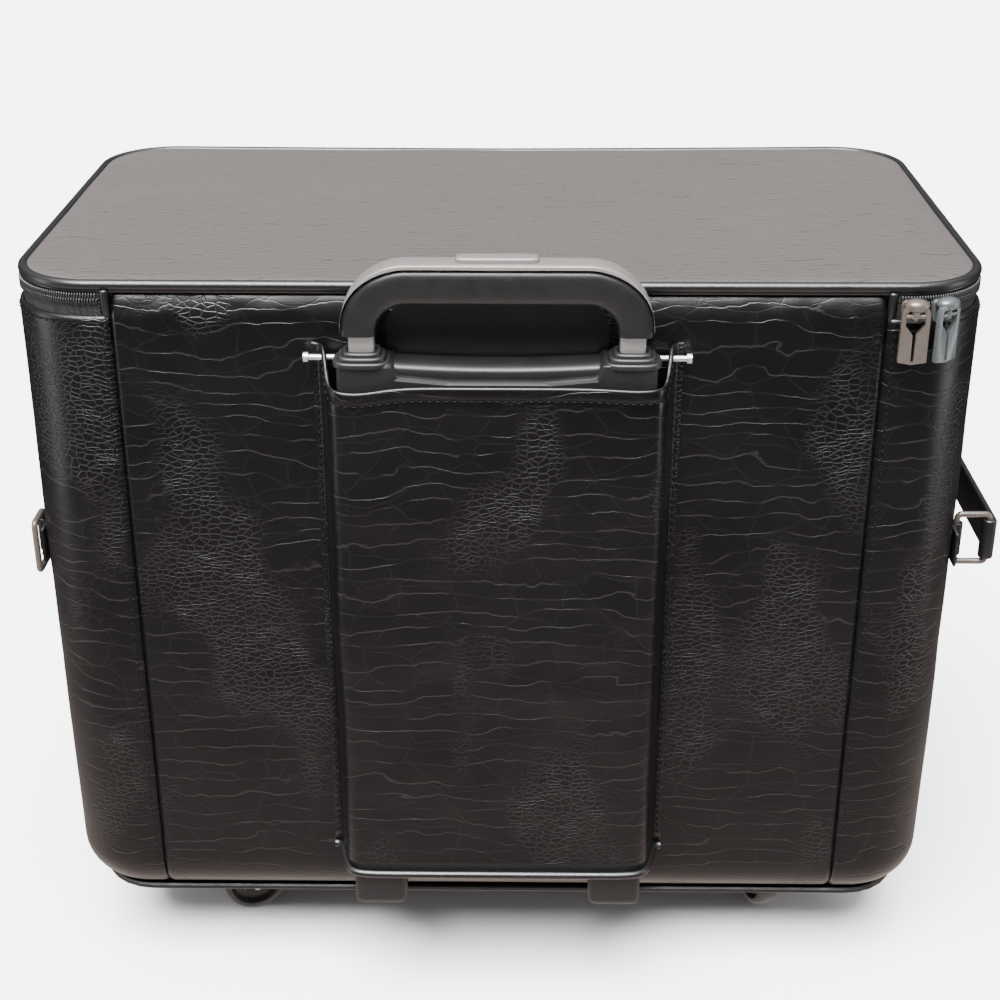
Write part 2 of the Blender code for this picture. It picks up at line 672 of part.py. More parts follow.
def make_casters():
    plate_top = PAN_Z[0] - GAP
    crown_top = plate_top - PLATE_THICK - GAP
    axle_z = -FLOOR_DROP + WHEEL_R
    behind = CASTER_TRAIL + 5 * MM
    for label, heading in CASTER_HEADINGS.items():
        x = CASTER_X * (1 if "right" in label else -1)
        y = CASTER_Y * (1 if "far" in label else -1)
        square = ((x - PLATE_HALF, x + PLATE_HALF), (y - PLATE_HALF, y + PLATE_HALF))
        plate = block(*square, (plate_top - PLATE_THICK, plate_top))
        bevel(add(f"caster_plate_{label}", plate, STEEL), 0.5 * MM, 1)

        swivel = empty(f"caster_{label}_swivel", (x, y, 0), case, math.radians(heading - 90))
        crown = [*arc((0, 0), CROWN_R, 180, 360, 8), (CROWN_R, behind), (-CROWN_R, behind)]
        crown = slab(crown, crown_top - CROWN_THICK, crown_top)
        fork = add(f"caster_fork_{label}", crown, PLASTIC, swivel)
        for sign in (-1, 1):
            across = sorted(sign * edge for edge in CHEEK_X)
            height = (axle_z - 5 * MM, crown_top - CROWN_THICK / 2)
            join(fork, block(across, (CASTER_TRAIL - 6 * MM, behind), height), swivel)
        hole_end = (12 * MM, CASTER_TRAIL, axle_z)
        cut(fork, rod(AXLE_R + GAP, (-hole_end[0], *hole_end[1:]), hole_end), frame=swivel)

        axle_end = (10.4 * MM, CASTER_TRAIL, axle_z)
        axle = rod(AXLE_R, (-axle_end[0], *axle_end[1:]), axle_end, 16)
        smooth(add(f"caster_axle_{label}", axle, STEEL, swivel))
        spin = empty(f"caster_{label}_axle", (0, CASTER_TRAIL, axle_z), swivel)
        smooth(make_wheel(f"caster_wheel_{label}", spin))


make_body()
make_lid()
make_sliders()
make_cover()
make_trolley()
make_handle()
make_side_hardware()
make_casters()
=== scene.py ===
"""Looks of the makeup train case: leather, zip, trimmings, trolley handle, light and camera.

Geometry is worked out in millimetres in the case frame, where X runs along the width, -Y is the
trolley side and z = 0 is the underside of the leather body. put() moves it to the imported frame.
"""

import json
import math

import bmesh
import bpy
import numpy as np
from mathutils import Matrix, Vector, noise


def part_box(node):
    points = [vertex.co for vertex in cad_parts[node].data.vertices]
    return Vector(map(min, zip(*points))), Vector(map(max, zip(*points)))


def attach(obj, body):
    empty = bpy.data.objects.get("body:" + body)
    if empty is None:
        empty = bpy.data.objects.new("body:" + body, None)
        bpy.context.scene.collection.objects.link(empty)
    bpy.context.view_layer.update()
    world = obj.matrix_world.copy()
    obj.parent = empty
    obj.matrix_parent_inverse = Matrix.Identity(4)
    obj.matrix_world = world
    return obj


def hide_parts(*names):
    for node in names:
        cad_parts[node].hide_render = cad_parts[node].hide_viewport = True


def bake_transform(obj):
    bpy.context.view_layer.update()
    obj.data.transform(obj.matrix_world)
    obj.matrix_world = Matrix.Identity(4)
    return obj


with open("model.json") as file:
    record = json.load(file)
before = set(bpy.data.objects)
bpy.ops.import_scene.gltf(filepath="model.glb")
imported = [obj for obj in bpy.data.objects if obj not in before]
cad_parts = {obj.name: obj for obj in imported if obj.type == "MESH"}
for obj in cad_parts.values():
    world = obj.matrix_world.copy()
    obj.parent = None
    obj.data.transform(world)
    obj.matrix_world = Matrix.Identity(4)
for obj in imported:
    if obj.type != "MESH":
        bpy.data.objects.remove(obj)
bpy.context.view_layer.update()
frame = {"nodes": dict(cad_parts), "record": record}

MM = 0.001
wrap_low, wrap_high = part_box("body_wrap")
ORIGIN = np.array([(wrap_low.x + wrap_high.x) / 2, (wrap_low.y + wrap_high.y) / 2, wrap_low.z])
HALF_X = (wrap_high.x - wrap_low.x) / 2 / MM
HALF_Y = (wrap_high.y - wrap_low.y) / 2 / MM
FOLD_Z = (wrap_high.z - wrap_low.z) / MM
BACK = -HALF_Y
CORNER_R = 38.0
EDGE_R = 20.0
SEAM_X = 167.5
CORNER = (HALF_X - CORNER_R, HALF_Y - CORNER_R)


TO_FRAME = Matrix.Translation(Vector(ORIGIN)) @ Matrix.Scale(MM, 4)


def put(points):
    """Case-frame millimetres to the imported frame's metres."""
    return np.asarray(points, float) * MM + ORIGIN


# ---------------------------------------------------------------- camera, light and floor
NADIR, ZENITH = (1.8, 1.5, 1.36), (4.0, 4.0, 4.0)
SKY_BANDS = ((0.16, (1.5, 1.25, 1.14)), (0.29, (0.03, 0.03, 0.035)), (0.55, (0.05, 0.05, 0.06)),
             (0.82, (0.4, 0.4, 0.43)))
KEY_STRENGTH, KEY_SPREAD, KEY_HEADING = 21.0, 42, (0.12, 0.40, -0.9)
STRIP_POWER = 5
FLOOR_HALF = 12


def make_camera():
    data = bpy.data.cameras.new("camera")
    data.lens = 62.35
    data.sensor_width = 36
    camera = bpy.data.objects.new("camera", data)
    camera.location = (0.0012, -0.813, 0.603)
    camera.rotation_euler = (math.radians(64.63), 0, math.radians(0.67))
    bpy.context.scene.collection.objects.link(camera)
    bpy.context.scene.camera = camera


def area_light(name, place, target, size, power):
    data = bpy.data.lights.new(name, "AREA")
    data.shape = "RECTANGLE"
    data.size, data.size_y = size
    data.energy = power
    light = bpy.data.objects.new(name, data)
    light.location = place
    light.rotation_euler = (Vector(target) - Vector(place)).to_track_quat("-Z", "Y").to_euler()
    bpy.context.scene.collection.objects.link(light)


def make_studio():
    """A soft key light overhead on the camera's side, dim surroundings and a pale floor.

    Gloss sees the surroundings in place of the floor, which would wash out black leather.
    """
    world = bpy.data.worlds.new("studio")
    world.use_nodes = True
    tree = world.node_tree
    sky = tree.nodes["Background"]
    way = tree.nodes.new("ShaderNodeTexCoord")
    parts = tree.nodes.new("ShaderNodeSeparateXYZ")
    tree.links.new(way.outputs["Generated"], parts.inputs[0])
    ramp = tree.nodes.new("ShaderNodeValToRGB")
    stops = ramp.color_ramp.elements
    stops[0].color = (*NADIR, 1)
    stops[1].color = (*ZENITH, 1)
    for position, color in SKY_BANDS:
        stops.new(position).color = (*color, 1)
    half = tree.nodes.new("ShaderNodeMath")
    half.operation = "MULTIPLY_ADD"
    half.inputs[1].default_value = 0.5
    half.inputs[2].default_value = 0.5
    tree.links.new(parts.outputs["Z"], half.inputs[0])
    tree.links.new(half.outputs[0], ramp.inputs["Fac"])
    tree.links.new(ramp.outputs["Color"], sky.inputs["Color"])
    sky.inputs["Strength"].default_value = 1.0
    bpy.context.scene.world = world

    sun = bpy.data.lights.new("key", "SUN")
    sun.energy = KEY_STRENGTH
    sun.angle = math.radians(KEY_SPREAD)
    key = bpy.data.objects.new("key", sun)
    key.rotation_euler = Vector(KEY_HEADING).to_track_quat("-Z", "Y").to_euler()
    bpy.context.scene.collection.objects.link(key)
    for label, side in (("left", -1), ("right", 1)):
        area_light(f"strip_{label}", (side * 1.2, -0.3, 0.3), (0, -0.15, 0.2), (0.3, 0.9), STRIP_POWER)

    bm = bmesh.new()
    bmesh.ops.create_grid(bm, x_segments=1, y_segments=1, size=FLOOR_HALF)
    mesh = bpy.data.meshes.new("studio_floor")
    bm.to_mesh(mesh)
    bm.free()
    floor = bpy.data.objects.new("studio_floor", mesh)
    floor.visible_glossy = False
    bpy.context.scene.collection.objects.link(floor)
    mesh.materials.append(FLOOR)


# ---------------------------------------------------------------- materials
class Finish:
    """A material under construction: its principled shader, and short calls that add nodes."""

    def __init__(self, name, color, roughness, metallic=0.0, **constants):
        self.material = bpy.data.materials.new(name)
        self.material.use_nodes = True
        self.tree = self.material.node_tree
        self.shader = self.tree.nodes["Principled BSDF"]
        self.shader.inputs["Base Color"].default_value = (*color, 1)
        self.shader.inputs["Roughness"].default_value = roughness
        self.shader.inputs["Metallic"].default_value = metallic
        for socket, value in constants.items():
            self.shader.inputs[socket.replace("_", " ")].default_value = value

    def node(self, kind, inputs=(), **settings):
        made = self.tree.nodes.new("ShaderNode" + kind)
        for key, value in settings.items():
            setattr(made, key, value)
        for key, value in dict(inputs).items():
            if isinstance(value, bpy.types.NodeSocket):
                self.tree.links.new(value, made.inputs[key])
            else:
                made.inputs[key].default_value = value
        return made

    def math(self, operation, a, b=0.0, c=0.0):
        return self.node("Math", {0: a, 1: b, 2: c}, operation=operation).outputs[0]

    def ramp(self, value, low, high, to_low=0.0, to_high=1.0, smooth=True):
        inputs = {"Value": value, "From Min": low, "From Max": high, "To Min": to_low, "To Max": to_high}
        kind = "SMOOTHSTEP" if smooth else "LINEAR"
        return self.node("MapRange", inputs, interpolation_type=kind).outputs["Result"]

    def scaled(self, vector, factors):
        return self.node("VectorMath", {0: vector, 1: factors}, operation="MULTIPLY").outputs[0]

    def noise(self, vector, scale, detail=2.0, rough=0.5):
        inputs = {"Vector": vector, "Scale": scale, "Detail": detail, "Roughness": rough}
        return self.node("TexNoise", inputs).outputs["Fac"]

    def place(self):
        return self.node("TexCoord").outputs["Object"]

    def between(self, factor, low, high):
        """A colour between two, by a factor."""
        made = self.node("Mix", {"Factor": factor}, data_type="RGBA")
        made.inputs[6].default_value = (*low, 1)
        made.inputs[7].default_value = (*high, 1)
        return made.outputs[2]

    def drive(self, socket, value):
        self.tree.links.new(value, self.shader.inputs[socket])

    def bump(self, height, depth, strength=1.0):
        made = self.node("Bump", {"Height": height, "Distance": depth, "Strength": strength})
        self.drive("Normal", made.outputs["Normal"])


BODY_ROWS = 112.0


def crocodile(name, face, crease, gloss, depth, rows, small_share, crease_share, **constants):
    """Embossed crocodile leather: wavy creases across, so many rows in a metre.

    In places they break up into small scales: more often for a low small share. Gloss holds the
    roughness of the scales' faces and of the creases, and the crease share is a crease's half width
    as a part of a row. The crease colour is painted light: where it is lighter than the face it is a painted
    highlight on the creases, where darker it is painted shade in them.
    """
    made = Finish(name, face, gloss[0], **constants)
    flat = made.node("Attribute", attribute_name="leather").outputs["Vector"]
    size = rows / BODY_ROWS

    def stretched(vector, factors):
        return made.scaled(vector, tuple(f * size for f in factors))

    def waves(factors, detail):
        return made.noise(stretched(flat, factors), 1.0, detail, 0.55)

    up = made.node("SeparateXYZ", {0: flat}).outputs["Y"]
    phase = made.math("MULTIPLY_ADD", waves((15, 34, 0), 2.0), 3.4, made.math("MULTIPLY", up, rows))
    phase = made.math("MULTIPLY_ADD", waves((90, 120, 0), 2.0), 0.55, phase)
    to_line = made.math("PINGPONG", phase, 0.5)
    kept = made.ramp(waves((42, 110, 0), 1.0), 0.50, 0.60)
    line = made.math("MAXIMUM", made.ramp(to_line, 0.0, crease_share), made.math("MULTIPLY", kept, 0.75))

    shift = made.node("TexNoise", {"Vector": flat, "Scale": 40.0 * size, "Detail": 2.0}).outputs["Color"]
    moved = made.node("VectorMath", {0: shift, 1: (0.010 / size, 0.012 / size, 0), 2: flat},
                      operation="MULTIPLY_ADD").outputs[0]

    def cells(factors, randomness, width):
        inputs = {"Vector": stretched(moved, factors), "Scale": 1.0, "Randomness": randomness}
        edge = made.node("TexVoronoi", inputs, voronoi_dimensions="2D", feature="DISTANCE_TO_EDGE")
        return made.ramp(edge.outputs["Distance"], 0.0, width)

    links = made.math("MULTIPLY_ADD", cells((42, 60, 0), 1.0, 0.035), 0.3, 0.7)
    small = cells((240, 430, 0), 0.95, 0.12)
    mask = made.ramp(waves((15, 8, 0), 2.0), small_share, small_share + 0.1)
    large = made.math("MINIMUM", line, links)
    height = made.node("Mix", {"Factor": mask, 2: large, 3: small}, data_type="FLOAT").outputs[0]

    wrinkle = made.noise(made.scaled(flat, (160, 520, 0)), 1.0, 3.0, 0.6)
    grain = made.noise(flat, 1700.0, 2.0)
    relief = made.math("MULTIPLY_ADD", wrinkle, 0.4, height)
    relief = made.math("MULTIPLY_ADD", grain, 0.12, relief)
    made.bump(relief, depth)

    patchy = made.noise(made.scaled(flat, (11, 17, 0)), 1.0, 3.0)
    # Colour by crease depth paints light: lighter creases are a painted highlight, darker creases painted
    # shade.
    made.drive("Base Color", made.between(height, crease, face))
    duller = made.ramp(height, 0.0, 1.0, gloss[1], gloss[0])
    made.drive("Roughness", made.math("MULTIPLY_ADD", patchy, 0.2, duller))
    return made.material


def grained(name, color, other, roughness, scale, depth, metallic=0.0, stretch=(1, 1, 1), **constants):
    """A plain finish with colour and gloss that vary a little, and a fine grain."""
    made = Finish(name, color, roughness, metallic, **constants)
    place = made.scaled(made.place(), stretch)
    broad = made.noise(place, scale * 0.06, 3.0)
    fine = made.noise(place, scale, 3.0, 0.6)
    made.drive("Base Color", made.between(broad, color, other))
    made.drive("Roughness", made.math("MULTIPLY_ADD", broad, 0.14, roughness - 0.07))
    made.bump(fine, depth)
    return made.material


def woven(name, color, other, roughness, pitch, depth, **constants):
    """A close plain weave, with threads at a pitch in metres."""
    made = Finish(name, color, roughness, **constants)
    place = made.place()
    bands = []
    for turn in (0.7, -0.7):
        inputs = {"Vector": place, "Rotation": (turn, turn, turn)}
        turned = made.node("Mapping", inputs).outputs["Vector"]
        inputs = {"Vector": turned, "Scale": 1 / pitch / 6.283, "Distortion": 0.5}
        bands.append(made.node("TexWave", inputs, bands_direction="X").outputs["Fac"])
    height = made.math("MULTIPLY", bands[0], bands[1])
    made.drive("Base Color", made.between(height, color, other))
    made.bump(height, depth)
    return made.material


def studio_floor_finish():
    made = Finish("studio_floor", (0.86, 0.86, 0.86), 0.9)
    speck = made.noise(made.place(), 3.0, 2.0)
    made.drive("Base Color", made.between(speck, (0.85, 0.85, 0.85), (0.88, 0.88, 0.88)))
    return made.material


FLOOR = studio_floor_finish()
# The body leather's creases are coloured lighter than its faces: a painted highlight on the creases' lips.
LEATHER = crocodile("black_embossed_leather", (0.0009, 0.0008, 0.0011), (0.0046, 0.0041, 0.0042),
                    (0.26, 0.38), 0.00012, BODY_ROWS, 0.50, 0.05, Specular_IOR_Level=0.36)
# The lid is the body's black leather painted far lighter: painted light falling from overhead on the lid's
# top. Its darker creases are painted shade.
LID_LEATHER_PAINTED_LIGHT = crocodile("lid_leather", (0.0345, 0.0290, 0.0272), (0.019, 0.0152, 0.0140),
                        (0.55, 0.62), 0.0003, 230.0, 0.78, 0.16)
TRIM = grained("smooth_trim_leather", (0.0026, 0.0026, 0.0030), (0.0042, 0.0040, 0.0042),
               0.36, 900, 0.00010)
LINING = woven("black_lining", (0.010, 0.010, 0.011), (0.028, 0.028, 0.030), 0.85, 0.0008, 0.0002)
BOARD = grained("stiffener_board", (0.09, 0.07, 0.05), (0.12, 0.09, 0.06), 0.9, 300, 0.0002)
TAPE = woven("zip_tape", (0.003, 0.003, 0.0035), (0.009, 0.009, 0.010), 0.7, 0.0007, 0.0002)
COIL = grained("zip_coil", (0.006, 0.006, 0.0065), (0.010, 0.010, 0.011), 0.36, 600, 0.00005)
THREAD = grained("thread", (0.0012, 0.0012, 0.0014), (0.0022, 0.0022, 0.0024), 0.6, 2500, 0.0001,
                 Specular_IOR_Level=0.15)
PLASTIC = grained("black_plastic", (0.0022, 0.0022, 0.0026), (0.0034, 0.0034, 0.0038),
                  0.48, 1800, 0.00006)
GREY = grained("dark_grey_plastic", (0.0034, 0.0033, 0.0037), (0.0050, 0.0048, 0.0053),
               0.40, 2200, 0.00005)
SILVER = grained("satin_silver", (0.130, 0.122, 0.117), (0.155, 0.146, 0.140), 0.34, 1400, 0.00003, 0.35,
                 (0.05, 1, 1))
STEEL = grained("steel", (0.40, 0.40, 0.40), (0.50, 0.50, 0.50), 0.34, 1400, 0.00003, 0.85, (1, 1, 0.05))
NICKEL = grained("warm_nickel", (0.062, 0.0505, 0.043), (0.078, 0.064, 0.055), 0.28, 1200, 0.00003, 0.4)
COOL_NICKEL = grained("cool_nickel", (0.048, 0.052, 0.054), (0.060, 0.065, 0.067), 0.28, 1200, 0.00003, 0.4)
RUBBER = grained("wheel_rubber", (0.014, 0.014, 0.014), (0.022, 0.022, 0.022), 0.55, 1500, 0.0001)
FINISHES = {
    "black_embossed_leather": LEATHER,
    "lid_leather": LID_LEATHER_PAINTED_LIGHT,
    "smooth_trim_leather": TRIM,
    "black_lining": LINING,
    "stiffener_board": BOARD,
    "zip_chain": TAPE,
    "black_plastic": PLASTIC,
    "dark_grey_plastic": GREY,
    "satin_silver": SILVER,
    "steel": STEEL,
    "warm_nickel": NICKEL,
    "wheel_rubber": RUBBER,
}


# ---------------------------------------------------------------- mesh helpers
def rides(obj, body, slot, *nodes):
    """Fixes a finished piece to its body and hides the CAD nodes it stands for. Its slot is not used."""
    if nodes:
        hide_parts(*nodes)
    if body:
        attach(obj, body)


def piece(name, points, faces, finish, flat=None):
    """A smooth-shaded object from case-frame points, with leather coordinates if it has a grain."""
    mesh = bpy.data.meshes.new(name)
    mesh.from_pydata(put(points).tolist(), [], faces)
    mesh.shade_smooth()
    mesh.materials.append(finish)
    if flat is not None:
        stored = mesh.attributes.new("leather", "FLOAT_VECTOR", "POINT")
        stored.data.foreach_set("vector", np.asarray(flat, np.float32).ravel())
    return shown(name, mesh)


def grid_faces(rows, columns, closed=False):
    """Quads of a grid of points, top row first and columns clockwise from above, facing out."""
    faces = []
    for r in range(rows - 1):
        for c in range(columns if closed else columns - 1):
            d = (c + 1) % columns
            faces.append((r * columns + c, r * columns + d, (r + 1) * columns + d, (r + 1) * columns + c))
    return faces


def sheet_piece(name, rows, finish, flat=None, closed=False, thickness=1.0):
    rows = np.asarray(rows, float)
    count, across = rows.shape[:2]
    flat = None if flat is None else np.asarray(flat, float).reshape(-1, 3)
    made = piece(name, rows.reshape(-1, 3), grid_faces(count, across, closed), finish, flat)
    thick = made.modifiers.new("thickness", "SOLIDIFY")
    thick.thickness = thickness * MM
    thick.offset = -1
    return made


def sweep(name, path, section, finish, closed=False, up=(0, 0, 1)):
    """A closed section of (across, up) pairs carried along a path of points."""
    path = [Vector(p) for p in path]
    count = len(path)
    points = []
    for i, here in enumerate(path):
        before = path[i - 1] if closed or i else here
        after = path[(i + 1) % count] if closed or i < count - 1 else here
        along = (after - before).normalized()
        across = along.cross(Vector(up)).normalized()
        rise = across.cross(along)
        points += [here + across * a + rise * b for a, b in section]
    size = len(section)
    faces = []
    for i in range(count if closed else count - 1):
        j = (i + 1) % count
        for k in range(size):
            m = (k + 1) % size
            faces.append((i * size + k, i * size + m, j * size + m, j * size + k))
    if not closed:
        faces.append(tuple(range(size)))
        faces.append(tuple((count - 1) * size + k for k in reversed(range(size))))
    return recalculated(piece(name, [tuple(p) for p in points], faces, finish))


def recalculated(obj):
    """Turns every face of a closed mesh outwards."""
    bm = bmesh.new()
    bm.from_mesh(obj.data)
    bmesh.ops.recalc_face_normals(bm, faces=bm.faces)
    bm.to_mesh(obj.data)
    bm.free()
    return obj


def welded(obj):
    """Joins points that lie on one another, and drops the faces that this flattens."""
    bm = bmesh.new()
    bm.from_mesh(obj.data)
    bmesh.ops.remove_doubles(bm, verts=bm.verts, dist=0.00005)
    bmesh.ops.dissolve_degenerate(bm, edges=bm.edges, dist=0.00001)
    bm.to_mesh(obj.data)
    bm.free()
    return obj


def capped_faces(rows, columns):
    """Quads of a closed grid of points, with a flat face over each end."""
    last = (rows - 1) * columns
    return [*grid_faces(rows, columns, True), tuple(range(columns)), tuple(last + k for k in range(columns))]


def circle(radius, sides=12):
    angles = [math.tau * i / sides for i in range(sides)]
    return [(radius * math.cos(a), radius * math.sin(a)) for a in angles]


def rounded_box(half_a, half_b, power=5.0, sides=32):
    """A box section with rounded corners, as a superellipse."""
    outline = []
    for i in range(sides):
        a = math.tau * i / sides
        c, s = math.cos(a), math.sin(a)
        outline.append((half_a * math.copysign(abs(c) ** (2 / power), c),
                        half_b * math.copysign(abs(s) ** (2 / power), s)))
    return outline


def arc(centre, radius, start, end, steps):
    angles = [math.radians(start + (end - start) * i / steps) for i in range(steps + 1)]
    return [(centre[0] + radius * math.cos(a), centre[1] + radius * math.sin(a)) for a in angles]


def evaluated_mesh(obj):
    bpy.context.view_layer.update()
    return bpy.data.meshes.new_from_object(obj.evaluated_get(bpy.context.evaluated_depsgraph_get()))


def modified(obj):
    """Applies the object's modifiers."""
    mesh = evaluated_mesh(obj)
    obj.modifiers.clear()
    obj.data = mesh
    return obj


def shown(name, data):
    """A new object in the scene for a mesh or a curve."""
    made = bpy.data.objects.new(name, data)
    bpy.context.scene.collection.objects.link(made)
    return made


def rough(point, scale, seed=0.0):
    """Smooth noise from -1 to 1 at a point in millimetres, its lumps about a scale wide."""
    x, y, z = (value / scale for value in point)
    return noise.noise(Vector((x + seed, y - seed, z)))


def read_along(walked, values, mark):
    """The row of values at a distance along a path, between its own rows."""
    return np.array([np.interp(mark, walked, column) for column in values.T])


def stitched(name, path, outward, body, pitch=3.6, length=2.5, radius=0.34):
    """A row of short stitches lying along a path, with the direction that faces out at each point."""
    path = np.asarray(path, float)
    outward = np.asarray(outward, float)
    steps = np.linalg.norm(np.diff(path, axis=0), axis=1)
    walked = np.concatenate([[0], np.cumsum(steps)])
    points, faces = [], []
    for start in np.arange(pitch / 2, walked[-1] - pitch / 2, pitch):
        ends = [read_along(walked, path, mark) for mark in (start, start + length)]
        face = read_along(walked, outward, start)
        face /= np.linalg.norm(face)
        along = (ends[1] - ends[0]) / max(np.linalg.norm(ends[1] - ends[0]), 1e-6)
        side = np.cross(along, face)
        first = len(points)
        points.append(ends[0] - face * radius * 0.6)
        for share in (0.18, 0.5, 0.82):
            proud = 0.35 if share == 0.5 else 0.1
            middle = ends[0] + (ends[1] - ends[0]) * share + face * radius * proud
            for k in range(6):
                angle = math.tau * k / 6
                points.append(middle + (side * math.cos(angle) + face * math.sin(angle)) * radius)
        points.append(ends[1] - face * radius * 0.6)
        last = len(points) - 1
        for k in range(6):
            m = (k + 1) % 6
            faces.append((first, first + 1 + m, first + 1 + k))
            for ring in (0, 1):
                a, b = first + 1 + ring * 6, first + 7 + ring * 6
                faces.append((a + k, a + m, b + m, b + k))
            faces.append((last, first + 13 + k, first + 13 + m))
    rides(recalculated(piece(name, points, faces, THREAD)), body, "smooth_trim_leather")


# ---------------------------------------------------------------- the case's outline
def outline(seam=None, step=5.0, tight=()):
    """Points, outward normals and running length, clockwise from above. It starts at the left back
    seam and ends at the right one, or closes on itself if there is no seam."""
    x, y = CORNER
    corners = (((-x, -y), 270), ((-x, y), 180), ((x, y), 90), ((x, -y), 0))
    marks = []
    for centre, start in corners:
        count = max(8, round(CORNER_R * math.pi / 2 / step * 1.6))
        for i in range(count + 1):
            a = math.radians(start - 90 * i / count)
            normal = (math.cos(a), math.sin(a))
            marks.append((centre[0] + CORNER_R * normal[0], centre[1] + CORNER_R * normal[1], *normal))
    if seam is None:
        marks.append(marks[0])
    else:
        from_seam = [(-seam - d, BACK, 0, -1) for d in (0, *tight) if seam + d < x]
        to_seam = [(seam + d, BACK, 0, -1) for d in (*reversed(tight), 0) if seam + d < x]
        marks = [*from_seam, *marks, *to_seam]
    dense = [marks[0]]
    for a, b in zip(marks, marks[1:]):
        gap = math.dist(a[:2], b[:2])
        count = max(1, round(gap / step))
        for i in range(1, count + 1):
            t = i / count
            dense.append(tuple(p + (q - p) * t for p, q in zip(a, b)))
    if seam is None:
        dense.pop()
    dense = np.array(dense)
    gaps = np.linalg.norm(np.diff(dense[:, :2], axis=0), axis=1)
    return dense[:, :2], dense[:, 2:], np.concatenate([[0], np.cumsum(gaps)])


def at_inset(points, normals, inset, height):
    """Outline points moved inwards, at a height."""
    moved = points - normals * inset
    return np.column_stack([moved, np.full(len(moved), height)])


def bottom_rows(depth=24.0):
    """Pairs of inset and height round the bottom edge and a little way under the case."""
    turned = [(EDGE_R * (1 - math.cos(a)), EDGE_R * (1 - math.sin(a)))
              for a in (math.radians(9 * i) for i in range(1, 11))]
    return [*turned, (EDGE_R + 2, 0.0), (depth, 0.05)]


def flat_coordinates(rows, lengths):
    """Leather coordinates in metres: running length across, and distance down the rows."""
    rows = np.asarray(rows)
    falls = np.linalg.norm(np.diff(rows, axis=0), axis=2).mean(axis=1)
    down = -np.concatenate([[0], np.cumsum(falls)])
    flat = np.zeros((*rows.shape[:2], 3))
    flat[..., 0] = np.asarray(lengths)[None, :] * MM
    flat[..., 1] = down[:, None] * MM
    return flat


# ---------------------------------------------------------------- body leather
STITCH_DROP = 3.2
WELT_TOP, WELT_LENGTH = 321.2, 16.0


def slack(point, height):
    """How far the wall leather stands out of the flat, in millimetres."""
    body = math.sin(math.pi * min(max((height - 18) / 285, 0), 1)) ** 0.7
    return body * (0.5 + 0.9 * rough(point, 90, 3) + 0.35 * rough(point, 28, 7))


def make_wrap():
    points, normals, lengths = outline(SEAM_X, 5.0, (0.6, 1.3, 2.2, 3.5))
    hem = [(3.4, FOLD_Z - 11), (3.3, FOLD_Z - 3), (2.9, FOLD_Z - 1.0), (2.3, FOLD_Z - 0.2), (1.6, FOLD_Z),
           (0.9, FOLD_Z - 0.25), (0.35, FOLD_Z - 0.9), (0.05, FOLD_Z - 1.8)]
    pinch = [(0.0, FOLD_Z - 2.5), (0.3, FOLD_Z - STITCH_DROP), (0.05, FOLD_Z - 4.0), (-0.1, FOLD_Z - 5.5)]
    wall = [(0.0, z) for z in np.arange(FOLD_Z - 9, EDGE_R - 1, -5.0)]
    profile = [*hem, *pinch, *wall, *bottom_rows()]
    to_seam = np.minimum(lengths, lengths[-1] - lengths)
    rows = []
    for inset, height in profile:
        row = []
        for point, normal, near in zip(points, normals, to_seam):
            place = (*point, height)
            tuck = 1.5 * math.exp(-((near / 1.3) ** 2))
            out = slack(place, height) * (1 - math.exp(-((near / 9) ** 2)))
            moved = point - normal * (inset + tuck - out)
            row.append((*moved, height))
        rows.append(row)
    made = sheet_piece("wrap_leather", rows, LEATHER, flat_coordinates(rows, lengths), thickness=1.4)
    rides(made, "case_body", "black_embossed_leather", "body_wrap")

    line = at_inset(points, normals, -0.15, FOLD_Z - STITCH_DROP)
    keep = slice(6, -6)
    outward = np.column_stack([normals, np.zeros(len(normals))])
    stitched("wrap_hem_stitches", line[keep], outward[keep], "case_body")


def make_back():
    edge = [0, 0.6, 1.3, 2.2, 3.5]
    half = SEAM_X - 0.3
    across = np.concatenate([-half + np.array(edge), np.linspace(-half + 6, half - 6, 116),
                             half - np.array(edge[::-1])])[::-1]
    top = [(5.4, 321.0), (4.5, 320.1), (3.6, 318.9), (2.8, 317.6), (2.1, 316.2), (1.5, 314.7), (1.0, 313.2),
           (0.6, 311.6), (0.3, 310.0), (0.12, 308.2), (0.0, 306.2), (0.0, 303.8), (0.0, 301.0)]
    wall = [(0.0, z) for z in np.arange(296.5, EDGE_R - 1, -4.5)]
    rows = []
    for inset, height in [*top, *wall, *bottom_rows()]:
        crumple = math.exp(-(((height - 312) / 9) ** 2))
        row = []
        for x in across:
            place = (x, BACK, height)
            near = half - abs(x)
            tuck = 1.5 * math.exp(-((near / 1.3) ** 2))
            out = slack(place, height) * (1 - math.exp(-((near / 9) ** 2)))
            out += crumple * (0.55 * rough(place, 7, 11) + 0.45 * rough(place, 18, 5))
            behind_cover = 1 / (1 + math.exp((abs(x) - 90) / 4))
            out -= behind_cover * max(out, 0)
            row.append((x, BACK + inset + tuck - out, height))
        rows.append(row)
    lengths = across + 700
    made = sheet_piece("back_leather", rows, LEATHER, flat_coordinates(rows, lengths), thickness=1.4)
    modified(made)
    rides(made, None, "black_embossed_leather", "back_panel", "hinge_strip")
    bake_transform(made)

    for side, label in ((-1, "left"), (1, "right")):
        line = [(side * (SEAM_X + 3.4), BACK - 0.05, z) for z in np.arange(FOLD_Z - 5, EDGE_R + 2, -6.0)]
        end = [(side * (SEAM_X + 1.6), BACK + 1.5 + 2.4 * ((WELT_TOP - z) / WELT_LENGTH) ** 2, z)
               for z in np.linspace(WELT_TOP, WELT_TOP - WELT_LENGTH, 16)]
        welt = sweep(f"seam_welt_{label}", end, circle(1.9, 12), TRIM, up=(0, -1, 0))
        rides(welt, None, "smooth_trim_leather")
        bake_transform(welt)
        stitched(f"seam_stitches_{label}", line, [(0, -1, 0)] * len(line), "case_body")


# ---------------------------------------------------------------- lid
LID_TOP, LID_WELT_Z, LID_LIP_Z = 324.2, 323.0, 320.9


